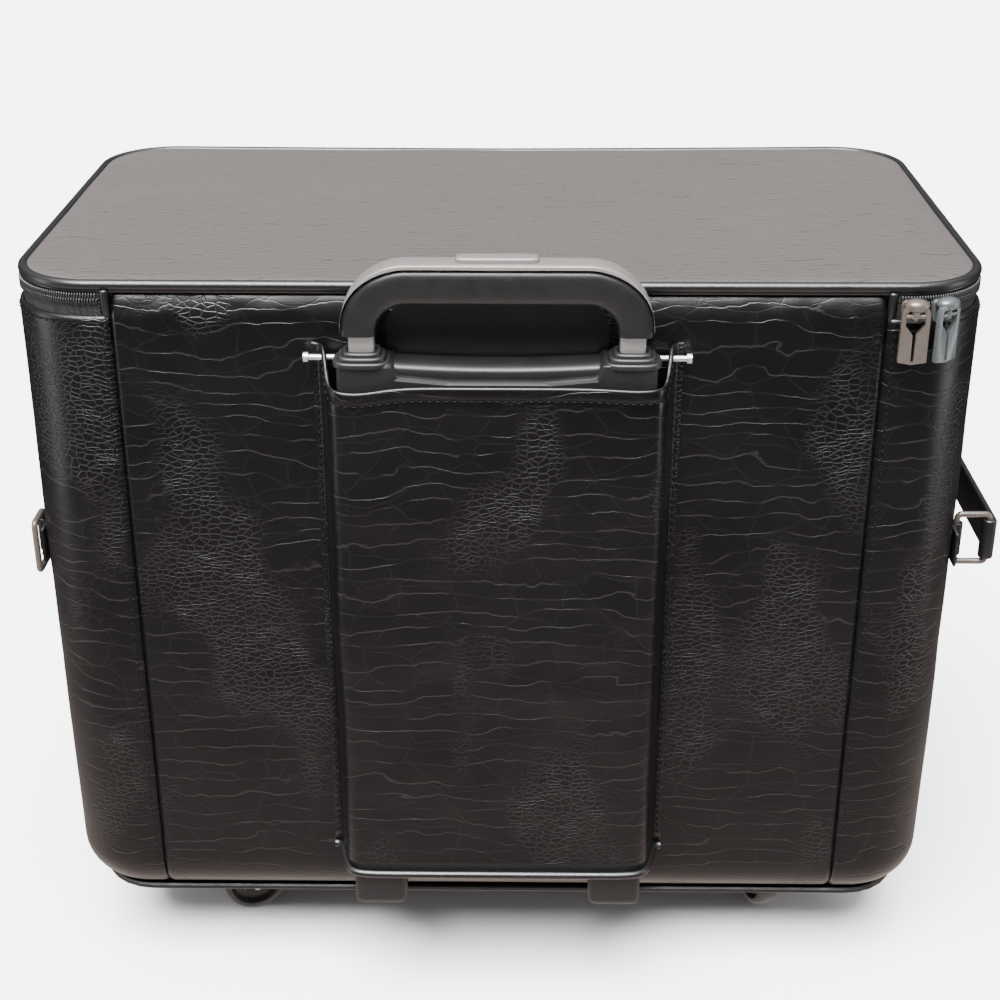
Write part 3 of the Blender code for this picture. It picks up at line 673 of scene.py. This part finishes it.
def warp(x, y):
    """How far the soft lid stands above the flat at a place, in millimetres."""
    far = (y + HALF_Y) / (2 * HALF_Y)
    sag = -1.3 * math.cos(math.pi * x / (2 * HALF_X)) * (0.25 + 0.75 * far)
    return sag + 1.2 * max(x / HALF_X, 0) * far


def make_lid():
    points, normals, _ = outline(None, 4.0)
    reach = HALF_X - HALF_Y
    spine = np.column_stack([np.clip(points[:, 0], -reach, reach), np.zeros(len(points))])
    rim = points - normals * 4.6
    rows, flat = [], []
    for share in (0.0, 0.012, 0.025, *np.linspace(0.05, 1.0, 26)):
        row, marks = [], []
        for edge, middle in zip(rim, spine):
            x, y = edge + (middle - edge) * share
            drop = 1.3 * math.exp(-share / 0.018)
            rise = warp(x, y) * (1 - 0.3 * math.exp(-share / 0.05)) + 0.35 * rough((x, y, 0), 60, 9)
            row.append((x, y, LID_TOP - drop + rise))
            marks.append((x * MM, y * MM, 0))
        rows.append(row)
        flat.append(marks)
    made = welded(sheet_piece("lid_top_leather", rows, LID_LEATHER_PAINTED_LIGHT, flat, closed=True, thickness=1.2))
    rides(made, "lid", "lid_leather", "lid_panel")

    path = [(x, y, LID_WELT_Z + 0.75 * warp(x, y)) for x, y in points - normals * 3.2]
    welt = sweep("lid_welt", path, circle(2.35, 14), TRIM, closed=True)
    rides(welt, "lid", "smooth_trim_leather", "lid_piping")
    path = [(x, y, LID_LIP_Z + 0.6 * warp(x, y)) for x, y in points - normals * 2.9]
    lip = sweep("lid_welt_flange", path, rounded_box(1.2, 1.1, 3.0, 12), TRIM, closed=True)
    rides(lip, "lid", "smooth_trim_leather")


COIL_PITCH = 1.25
COIL_ROWS = (("body", "case_body", 314.7, 317.5, 0.0), ("lid", "lid", 317.1, 319.9, 0.5))


def make_zip():
    """Two rows of coil that mesh along the parting line, in front of the tapes."""
    points, normals, lengths = outline(SEAM_X + 4, 3.0)
    for label, body, low, high, shift in COIL_ROWS:
        verts, faces = [], []
        levels = ((low, 1.6, 0.34), (low + 0.5, 0.8, 0.38), (high - 0.5, 0.8, 0.3), (high, 1.6, 0.26))
        for mark in np.arange(1 + shift * COIL_PITCH, lengths[-1] - 1, COIL_PITCH):
            x, y = read_along(lengths, points, mark)
            nx, ny = read_along(lengths, normals, mark)
            size = math.hypot(nx, ny)
            nx, ny = nx / size, ny / size
            first = len(verts)
            for height, inset, half in levels:
                for away, side in ((inset, -half), (inset, half), (2.2, half), (2.2, -half)):
                    verts.append((x - nx * away - ny * side, y - ny * away + nx * side, height))
            for ring in range(3):
                for k in range(4):
                    a, b = first + ring * 4 + k, first + ring * 4 + (k + 1) % 4
                    faces.append((a, b, b + 4, a + 4))
            faces += [(first, first + 3, first + 2, first + 1), tuple(first + 12 + k for k in range(4))]
        made = recalculated(piece(f"zip_coil_{label}", verts, faces, COIL))
        rides(made, body, "zip_chain")


# ---------------------------------------------------------------- trolley cover
COVER_LOW = 38.0
COVER_TOP = 288.0
HEM_DEPTH = 9.0
HEM_STITCH_DROP = 6.2


def cover_section():
    """The cover's section from the right flange to the left: X and distance out, the directions that
    face out, and running length."""
    right = [(80.5, 1.9), (77.5, 2.6), (76, 6), (73, 20), (69.5, 25.2), (63, 26.8), (44, 27)]
    line = np.array(right + [(-x, out) for x, out in reversed(right)], float)
    for _ in range(3):
        cut = [line[0]]
        for a, b in zip(line, line[1:]):
            cut += [a + (b - a) * 0.25, a + (b - a) * 0.75]
        line = np.array([*cut, line[-1]])
    dense = [line[0]]
    for a, b in zip(line, line[1:]):
        count = max(1, round(np.linalg.norm(b - a) / 3.0))
        dense += [a + (b - a) * i / count for i in range(1, count + 1)]
    line = np.array(dense)
    along = np.gradient(line, axis=0)
    along /= np.linalg.norm(along, axis=1)[:, None]
    normal = np.column_stack([-along[:, 1], along[:, 0]])
    normal *= np.sign(normal[:, 1] + 1e-9)[:, None]
    normal[(normal[:, 1] <= 0.2) & (normal[:, 0] * line[:, 0] <= 0)] *= -1
    gaps = np.linalg.norm(np.diff(line, axis=0), axis=1)
    return line, normal, np.concatenate([[0], np.cumsum(gaps)])


def cover_edge(x, out):
    """Height of the cover's top edge: low across the front, up to an ear at each flange."""
    t = min(max((out - 5) / 17, 0), 1)
    ear = 12 * (1 - t * t * (3 - 2 * t))
    left_dip = 3.0 * math.exp(-(((x + 62) / 16) ** 2))
    right_dip = 1.2 * math.exp(-(((x - 62) / 16) ** 2))
    return COVER_TOP + ear - left_dip - right_dip


def make_cover():
    line, outside, lengths = cover_section()
    hem = [(2.1, -13), (2.1, -4), (2.0, -1.4), (1.6, -0.45), (1.0, 0.0), (0.4, -0.3), (0.05, -1.1),
           (-0.05, -2.5), (0.0, -4.0), (0.1, -5.2), (0.42, -6.2), (0.15, -7.2), (0.0, -HEM_DEPTH)]
    rows = []
    for inset, drop in hem:
        rows.append([(x - n[0] * inset, BACK - (out - n[1] * inset), cover_edge(x, out) + drop)
                     for (x, out), n in zip(line, outside)])
    steps = 54
    for i in range(1, steps + 1):
        loose = math.sin(math.pi * i / steps) ** 0.6
        row = []
        for (x, out), n in zip(line, outside):
            top = cover_edge(x, out) - HEM_DEPTH
            z = top + (COVER_LOW - top) * i / steps
            place = (x, out, z)
            middle = math.exp(-((x / 42) ** 4))
            flange = 1 if out > 7 else 0.15
            bulge = 0.9 * rough(place, 45, 21) + 0.45 * rough(place, 16, 2) - 1.1 * middle
            if i >= steps - 2:
                bulge -= 0.5 * (i - steps + 3) / 3
            push = bulge * loose * flange
            row.append((x + n[0] * push, BACK - (out + n[1] * push), z))
        rows.append(row)
    made = sheet_piece("cover_leather", rows, LEATHER, flat_coordinates(rows, lengths + 1500), thickness=1.3)
    rides(made, "case_body", "black_embossed_leather", "trolley_cover")

    front = [(x - n[0] * 0.1, BACK - (out - n[1] * 0.1), cover_edge(x, out) - HEM_STITCH_DROP)
             for (x, out), n in zip(line, outside)]
    stitched("cover_hem_stitches", front[2:-2], [(n[0], -n[1], 0) for n in outside][2:-2], "case_body")
    for side, label in ((-1, "left"), (1, "right")):
        run = [(side * 78.6, BACK - 2.45, z) for z in np.arange(292, COVER_LOW + 1, -6.0)]
        stitched(f"cover_flange_stitches_{label}", run, [(0, -1, 0)] * len(run), "case_body")

    path = [(x, BACK - max(out + 0.3, 2.5), COVER_LOW - 2.4) for x, out in line[::2]]
    welt = sweep("cover_welt", path, circle(2.0, 12), TRIM)
    rides(welt, "case_body", "smooth_trim_leather", "cover_piping")


# ---------------------------------------------------------------- handle
TUBE_X = 57.4
HANDLE_Y = BACK - 15.5
GRIP_HALF, GRIP_TOP, GRIP_OPENING, GRIP_FOOT = 66.0, 340.0, 322.0, 308.4
SHOULDER_R, GRIP_INNER_R, CAP_THICK = 28.0, 13.0, 2.4
SADDLE_Z = 290.4
COLLARS = (("wide", (12.4, 9.4), (8.5, 7.2), 295.2, 297.6, "case_body"),
           ("step", (10.4, 8.3), (7.6, 6.3), 297.2, 299.6, "case_body"),
           ("slim", (8.4, 7.0), (5.8, 4.5), 299.3, 301.4, "handle_mid"))


def band(name, outer, inner, deep, finish, power, crown=0.0):
    """A rounded bar that fills the room between two arches."""
    shape = rounded_box(1, 1, power, 28)
    points = []
    for (ox, oz), (ix, iz) in zip(outer, inner):
        middle = ((ox + ix) / 2, (oz + iz) / 2)
        half = ((ox - ix) / 2, (oz - iz) / 2)
        for a, b in shape:
            lift = a + crown * max(a, 0) * (1 - b * b)
            points.append((middle[0] + half[0] * lift, HANDLE_Y + deep / 2 * b, middle[1] + half[1] * lift))
    return recalculated(piece(name, points, capped_faces(len(outer), len(shape)), finish))


def grip_lines():
    """The grip's outer line, the line where its cap meets its body, and its inner line."""
    x, z = GRIP_HALF - SHOULDER_R, GRIP_TOP - SHOULDER_R
    outer = [(GRIP_HALF, GRIP_FOOT + 0.6 * i) for i in range(0, 6)]
    seam = [(GRIP_HALF - 0.1, height) for _, height in outer]
    for i in range(17):
        a = math.radians(90 * i / 16)
        share = min(max((math.degrees(a) - 14) / 60, 0), 1)
        thick = 0.1 + (CAP_THICK - 0.1) * share * share * (3 - 2 * share)
        for line, radius in ((outer, SHOULDER_R), (seam, SHOULDER_R - thick)):
            line.append((x + radius * math.cos(a), z + radius * math.sin(a)))
    inner = [(x + GRIP_INNER_R, GRIP_FOOT + 0.1 * i) for i in range(0, 6)]
    inner += arc((x, GRIP_OPENING - GRIP_INNER_R), GRIP_INNER_R, 0, 90, 16)
    for line, top in ((outer, GRIP_TOP), (seam, GRIP_TOP - CAP_THICK), (inner, GRIP_OPENING)):
        line += [(x * (1 - i / 8), top) for i in range(1, 9)]
    return [[(-a, b) for a, b in line] + line[-2::-1] for line in (outer, seam, inner)]


def collar(name, x, outside, inside, low, high, body):
    """A rounded oval collar with a hole for the tube."""
    a, b = outside
    c, d = inside
    levels = ((outside, low), (outside, high - 0.8), ((a - 0.3, b - 0.3), high - 0.2),
              ((a - 0.9, b - 0.9), high), ((c + 0.5, d + 0.5), high), (inside, high - 0.5), (inside, low))
    across = 40
    rows = []
    for half, height in levels:
        rows.append([(x + u, HANDLE_Y + v, height) for u, v in rounded_box(*half, 3.4, across)])
    last = (len(rows) - 1) * across
    faces = grid_faces(len(rows), across, True)
    faces += [(last + k, last + (k + 1) % across, (k + 1) % across, k) for k in range(across)]
    made = recalculated(piece(name, np.array(rows).reshape(-1, 3), faces, PLASTIC))
    made.data.set_sharp_from_angle(angle=math.radians(50))
    rides(made, body, "black_plastic")


def make_grip():
    outer, seam, inner = grip_lines()
    body = band("grip_moulding", seam, inner, 12.6, GREY, 4.0)
    rides(body, "handle_grip", "dark_grey_plastic", "grip_body")
    over, under = outer[4:-4], seam[4:-4]
    for k in (0, -1):
        under[k] = tuple((low * 3 + high) / 4 for low, high in zip(under[k], over[k]))
    cap = band("grip_top_cap", over, under, 12.8, SILVER, 5.0, crown=0.2)
    rides(cap, "handle_grip", "satin_silver", "grip_cap")


def make_housing():
    """Collars round the tubes' ends, the saddle between them, and a dark smooth sheet behind the grip:
    partly a smooth inset, partly painted shade in the grip's opening.
    """
    for label, x in (("left", -TUBE_X), ("right", TUBE_X)):
        for size, outside, inside, low, high, body in COLLARS:
            collar(f"tube_collar_{label}_{size}", x, outside, inside, low, high, body)
    line = [(x, BACK - 11.2, SADDLE_Z + 1.6 * (x / 46) ** 2) for x in np.linspace(-46, 46, 31)]
    saddle = sweep("housing_saddle", line, rounded_box(8.4, 4.0, 3.6, 32), PLASTIC)
    rides(saddle, "case_body", "black_plastic")
    # A dark smooth sheet over the back leather behind the grip: partly a smooth inset, partly painted shade
    # in the grip's opening.
    shape = [*arc((36, 306), 12, 0, 90, 8), *arc((-36, 306), 12, 90, 180, 8), (-48, 288), (48, 288)]
    plate = flat_part("dark_sheet_behind_grip", [shape], BACK - 1.9, BACK - 0.35, TRIM)
    seated(plate, Matrix.Identity(4))
    rides(plate, "case_body", "smooth_trim_leather")


def make_button():
    shape = rounded_box(17.4, 4.2, 6.0, 48)
    levels = ((0.9, 334.4), (1.0, 335.0), (1.0, 340.9), (0.99, 341.6), (0.96, 342.0), (0.88, 342.25),
              (0.5, 342.4))
    rows = []
    for share, z in levels:
        rows.append([(x * (1 - (1 - share) * 0.25), HANDLE_Y + y * share, z) for x, y in shape])
    faces = capped_faces(len(rows), len(shape))
    button = recalculated(piece("release_button", np.array(rows).reshape(-1, 3), faces, SILVER))
    rides(button, "button", "satin_silver", "push_button")


# ---------------------------------------------------------------- zip sliders and pullers
SLIDER_R = 36.1
PIVOT_R = 42.7
PIVOT_Z = 312.75
SLIDERS = {"left": (1.5, 0, NICKEL), "right": (21.5, 14, COOL_NICKEL)}


def flat_part(name, outlines, low, high, finish):
    """A flat part in XZ between two depths in Y, from an outer outline and the outlines of its holes."""
    curve = bpy.data.curves.new(name, "CURVE")
    curve.dimensions = "2D"
    curve.fill_mode = "BOTH"
    curve.extrude = (high - low) / 2
    for points in outlines:
        spline = curve.splines.new("POLY")
        spline.points.add(len(points) - 1)
        for target, point in zip(spline.points, points):
            target.co = (*point, 0, 1)
        spline.use_cyclic_u = True
    flat = shown(name, curve)
    mesh = evaluated_mesh(flat)
    bpy.data.objects.remove(flat)
    turn = Matrix.Translation((0, (low + high) / 2, 0)) @ Matrix.Rotation(math.pi / 2, 4, "X")
    mesh.transform(turn)
    bm = bmesh.new()
    bm.from_mesh(mesh)
    bmesh.ops.remove_doubles(bm, verts=bm.verts, dist=1e-4)
    bmesh.ops.dissolve_limit(bm, angle_limit=0.01, verts=bm.verts, edges=bm.edges)
    bmesh.ops.recalc_face_normals(bm, faces=bm.faces)
    bm.to_mesh(mesh)
    bm.free()
    mesh.materials.append(finish)
    return shown(name, mesh)


def softened(obj, width, segments=3):
    made = obj.modifiers.new("edges", "BEVEL")
    made.width = width
    made.segments = segments
    made.limit_method = "ANGLE"
    made.angle_limit = math.radians(35)
    return modified(obj)


def ellipsoid(name, centre, radii, finish, segments=24, rings=12):
    bm = bmesh.new()
    bmesh.ops.create_uvsphere(bm, u_segments=segments, v_segments=rings, radius=1)
    bm.transform(Matrix.Translation(centre) @ Matrix.Diagonal((*radii, 1)))
    mesh = bpy.data.meshes.new(name)
    bm.to_mesh(mesh)
    bm.free()
    mesh.shade_smooth()
    mesh.materials.append(finish)
    return shown(name, mesh)


def merged(name, *objs):
    """One object from several that stay separate shells."""
    bm = bmesh.new()
    for obj in objs:
        bm.from_mesh(obj.data)
    mesh = bpy.data.meshes.new(name)
    bm.to_mesh(mesh)
    bm.free()
    mesh.materials.append(objs[0].data.materials[0])
    for obj in objs:
        bpy.data.objects.remove(obj)
    return shown(name, mesh)


def seated(obj, matrix):
    """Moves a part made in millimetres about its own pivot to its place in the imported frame."""
    obj.data.transform(TO_FRAME @ matrix)
    obj.data.shade_smooth()
    obj.data.set_sharp_from_angle(angle=math.radians(40))
    return obj


def puller_parts(side, finish):
    """The pull tab about its bar: a strip whose eye runs down through a funnel into a long slot."""
    half, top, length, corner = 6.2, 4.6, 21.6, 3.6
    strip = [*arc((half - corner, top - corner), corner, 0, 90, 8),
             *arc((-half + corner, top - corner), corner, 90, 180, 8),
             (-half, -length + 1.0), (0, -length), (half, -length + 1.0)]
    eye = [*arc((2.6, 0.9), 1.6, 0, 90, 5), *arc((-2.6, 0.9), 1.6, 90, 180, 5), (-4.2, -3.8), (-0.8, -8.2),
           (-0.65, -length + 0.9), (0.65, -length + 0.9), (0.8, -8.2), (4.2, -3.8)]
    return softened(flat_part(f"tab_{side}", [strip, eye], -1.1, 1.1, finish), 0.22, 2)


def make_sliders():
    for side, (degrees, twist, finish) in SLIDERS.items():
        turn = Matrix.Rotation(math.radians(degrees), 4, "Z")
        axis = Matrix.Translation((CORNER[0], -CORNER[1], PIVOT_Z)) @ turn
        shell = [*arc((3.2, 3.6), 2.2, 0, 90, 5), *arc((-3.2, 3.6), 2.2, 90, 180, 5),
                 *arc((-2.6, -2.0), 2.6, 180, 270, 5), *arc((2.6, -2.0), 2.6, 270, 360, 5)]
        plate = softened(flat_part(f"plate_{side}", [shell], -SLIDER_R - 2.9, -SLIDER_R - 0.5, finish), 0.7)
        crown = ellipsoid(f"crown_{side}", (0.4, -SLIDER_R - 4.9, 4.3), (5.6, 4.2, 3.0), finish, 32, 16)
        neck = ellipsoid(f"neck_{side}", (0, -SLIDER_R - 4.8, 0.6), (2.2, 3.6, 3.4), finish)
        slider = seated(merged(f"slider_{side}_body", plate, crown, neck), axis)
        rides(slider, f"slider_{side}", "warm_nickel", f"zip_slider_{side}")

        yaw = Matrix.Rotation(math.radians(twist), 4, "Z")
        pivot = axis @ Matrix.Translation((0, -PIVOT_R, 0)) @ yaw
        bar = sweep(f"bar_{side}", [(-4.6, 0, 0), (4.6, 0, 0)], circle(1.05, 16), finish)
        bar.data.transform(TO_FRAME.inverted())
        puller = seated(merged(f"pull_tab_{side}", puller_parts(side, finish), bar), pivot)
        rides(puller, f"puller_{side}", "warm_nickel", f"zip_puller_{side}")


# ---------------------------------------------------------------- side rings, tabs and strap
RING_OUT, RING_HALF, WIRE_R, RING_Z = 15.5, 12.5, 1.5, 186.0
HOLD_X = HALF_X + 3.6
RING_Y = {"right_near": -82.0, "right_far": 82.0, "left": -82.0}


def make_ring(label, sign, y):
    """A ring of wire: it stands out from the right side, and lies along the left one."""
    corner = 2.2
    loop = []
    for x, z, start in ((RING_OUT - corner, RING_HALF - corner, 0), (corner, RING_HALF - corner, 90),
                        (corner, -RING_HALF + corner, 180), (RING_OUT - corner, -RING_HALF + corner, 270)):
        loop += arc((x, z), corner, start, start + 90, 6)
    if sign > 0:
        path = [(HOLD_X + a, y, RING_Z + b) for a, b in loop]
        up = (0, 1, 0)
    else:
        path = [(-HOLD_X, y - a, RING_Z + b) for a, b in loop]
        up = (1, 0, 0)
    ring = sweep(f"wire_ring_{label}", path, circle(WIRE_R, 12), NICKEL, closed=True, up=up)
    body = {"right_near": "strap_ring_near", "right_far": "strap_ring_far", "left": "side_ring_left"}[label]
    rides(ring, body, "warm_nickel", f"ring_{label}")


def upright_slab(name, plan, half, rim=0.7):
    """A plan outline carried up and down from the ring's height, with rounded upper and lower edges."""
    plan = np.asarray(plan, float)
    nexts = np.roll(plan, -1, axis=0)
    along = nexts - np.roll(plan, 1, axis=0)
    along /= np.linalg.norm(along, axis=1)[:, None]
    inward = np.column_stack([-along[:, 1], along[:, 0]])
    area = 0.5 * np.sum(plan[:, 0] * nexts[:, 1] - nexts[:, 0] * plan[:, 1])
    inward *= 1 if area > 0 else -1
    upper = [(half - rim * (1 - math.sin(a)), rim * 0.6 * (1 - math.cos(a))) for a in (1.57, 0.9, 0.4, 0.0)]
    profile = [*upper, (0.0, 0.0), *[(-height, inset) for height, inset in reversed(upper)]]
    rows = [[(x, y, RING_Z + height) for x, y in plan + inward * inset] for height, inset in profile]
    faces = capped_faces(len(rows), len(plan))
    return recalculated(piece(name, np.array(rows).reshape(-1, 3), faces, TRIM))


def make_tab(label, sign, y):
    """A leather tab folded round the ring's inner bar, its two leaves sewn to the side."""
    loop = arc((3.6, 0), 3.0, 104, -104, 16)
    near = [(0.35, -14), (0.3, 14), (1.0, 14.2), (1.9, 13.6), (2.1, 9), (2.3, 5.2)]
    far = [(2.3, -5.2), (2.1, -9), (1.9, -13.6), (1.0, -14.2)]
    plan = [(sign * (HALF_X + a), y + b) for a, b in [*near, *loop, *far]]
    tab = upright_slab(f"leather_tab_{label}", plan, 8.5)
    rides(tab, "case_body", "smooth_trim_leather", f"ring_tab_{label}")
    corners = ((7.2, -6.6), (12.6, -6.6), (12.6, 6.6), (7.2, 6.6), (7.2, -6.6))
    for leaf, way in (("a", 1), ("b", -1)):
        box = [(sign * (HALF_X + 2.2), y + way * b, RING_Z + c) for b, c in corners]
        stitched(f"tab_stitches_{label}_{leaf}", box, [(sign, 0, 0)] * len(box), "case_body",
                 pitch=2.6, length=1.8, radius=0.3)


def make_strap():
    """The side handle: a leather strap with a loop round the outer bar of each ring."""
    x, low, high = HOLD_X + RING_OUT, RING_Y["right_near"], RING_Y["right_far"]
    radius, inner = 3.6, 0.6
    meet = math.degrees(math.acos(inner / radius))
    near = arc((x, low), radius, meet, 360, 24)
    far = arc((x, high), radius, 0, 360 - meet, 24)
    straight = np.linspace(low, high, 30)[1:-1]
    outside = [(x + radius, y) for y in straight]
    inside = [(x + inner, y) for y in straight[::-1]]
    strap = upright_slab("carry_strap_leather", [*near, *outside, *far, *inside], 10.2, rim=1.2)
    rides(strap, "carry_strap", "smooth_trim_leather", "side_strap")
    for height, label in ((7.8, "upper"), (-7.8, "lower")):
        run = [(x + radius, y, RING_Z + height) for y in straight]
        stitched(f"strap_stitches_{label}", run, [(1, 0, 0)] * len(run), "carry_strap")


# ---------------------------------------------------------------- casters
CASTERS = {"left_near": 20, "right_near": 110, "left_far": 60, "right_far": 130}


def make_wheel(label):
    """A turned wheel with a rubber tread, on the place of its plain CAD wheel."""
    low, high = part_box(f"caster_wheel_{label}")
    centre = (low + high) / 2
    heading = math.radians(CASTERS[label] - 90)
    profile = [(2.4, 5.2), (5.0, 5.2), (5.6, 5.8), (7.6, 5.9), (8.4, 5.2), (9.4, 3.4), (12.0, 3.2),
               (12.9, 4.6), (13.6, 5.8), (15.2, 5.9), (16.3, 5.3), (16.9, 3.9), (17.0, 1.5)]
    profile += [(r, -w) for r, w in reversed(profile)]
    steps, size = 56, len(profile)
    points = []
    for i in range(steps):
        a = math.tau * i / steps
        points += [(w, r * math.cos(a), r * math.sin(a)) for r, w in profile]
    faces = []
    for i in range(steps):
        j = (i + 1) % steps
        for k in range(size):
            m = (k + 1) % size
            faces.append((i * size + k, i * size + m, j * size + m, j * size + k))
    mesh = bpy.data.meshes.new(f"wheel_{label}")
    mesh.from_pydata(points, [], faces)
    mesh.transform(Matrix.Translation(centre) @ Matrix.Rotation(heading, 4, "Z") @ Matrix.Scale(MM, 4))
    mesh.materials.append(RUBBER)
    made = recalculated(shown(f"wheel_{label}_tyre", mesh))
    mesh.shade_smooth()
    mesh.set_sharp_from_angle(angle=math.radians(50))
    rides(made, f"wheel_{label}", "wheel_rubber", f"caster_wheel_{label}")


def dress_frame():
    """Gives every CAD node that stays in view the finish of its slot."""
    slots = {part["node"]: part["material_slot"] for part in frame["record"]["subparts"]}
    for name, obj in frame["nodes"].items():
        obj.data.materials.clear()
        obj.data.materials.append(FINISHES[slots[name]])


make_camera()
make_studio()
dress_frame()
make_wrap()
make_back()
make_lid()
make_zip()
make_cover()
make_grip()
make_housing()
make_button()
make_sliders()
for ring_label, ring_y in RING_Y.items():
    ring_sign = -1 if ring_label == "left" else 1
    make_ring(ring_label, ring_sign, ring_y)
    make_tab(ring_label, ring_sign, ring_y)
make_strap()
for caster in CASTERS:
    make_wheel(caster)
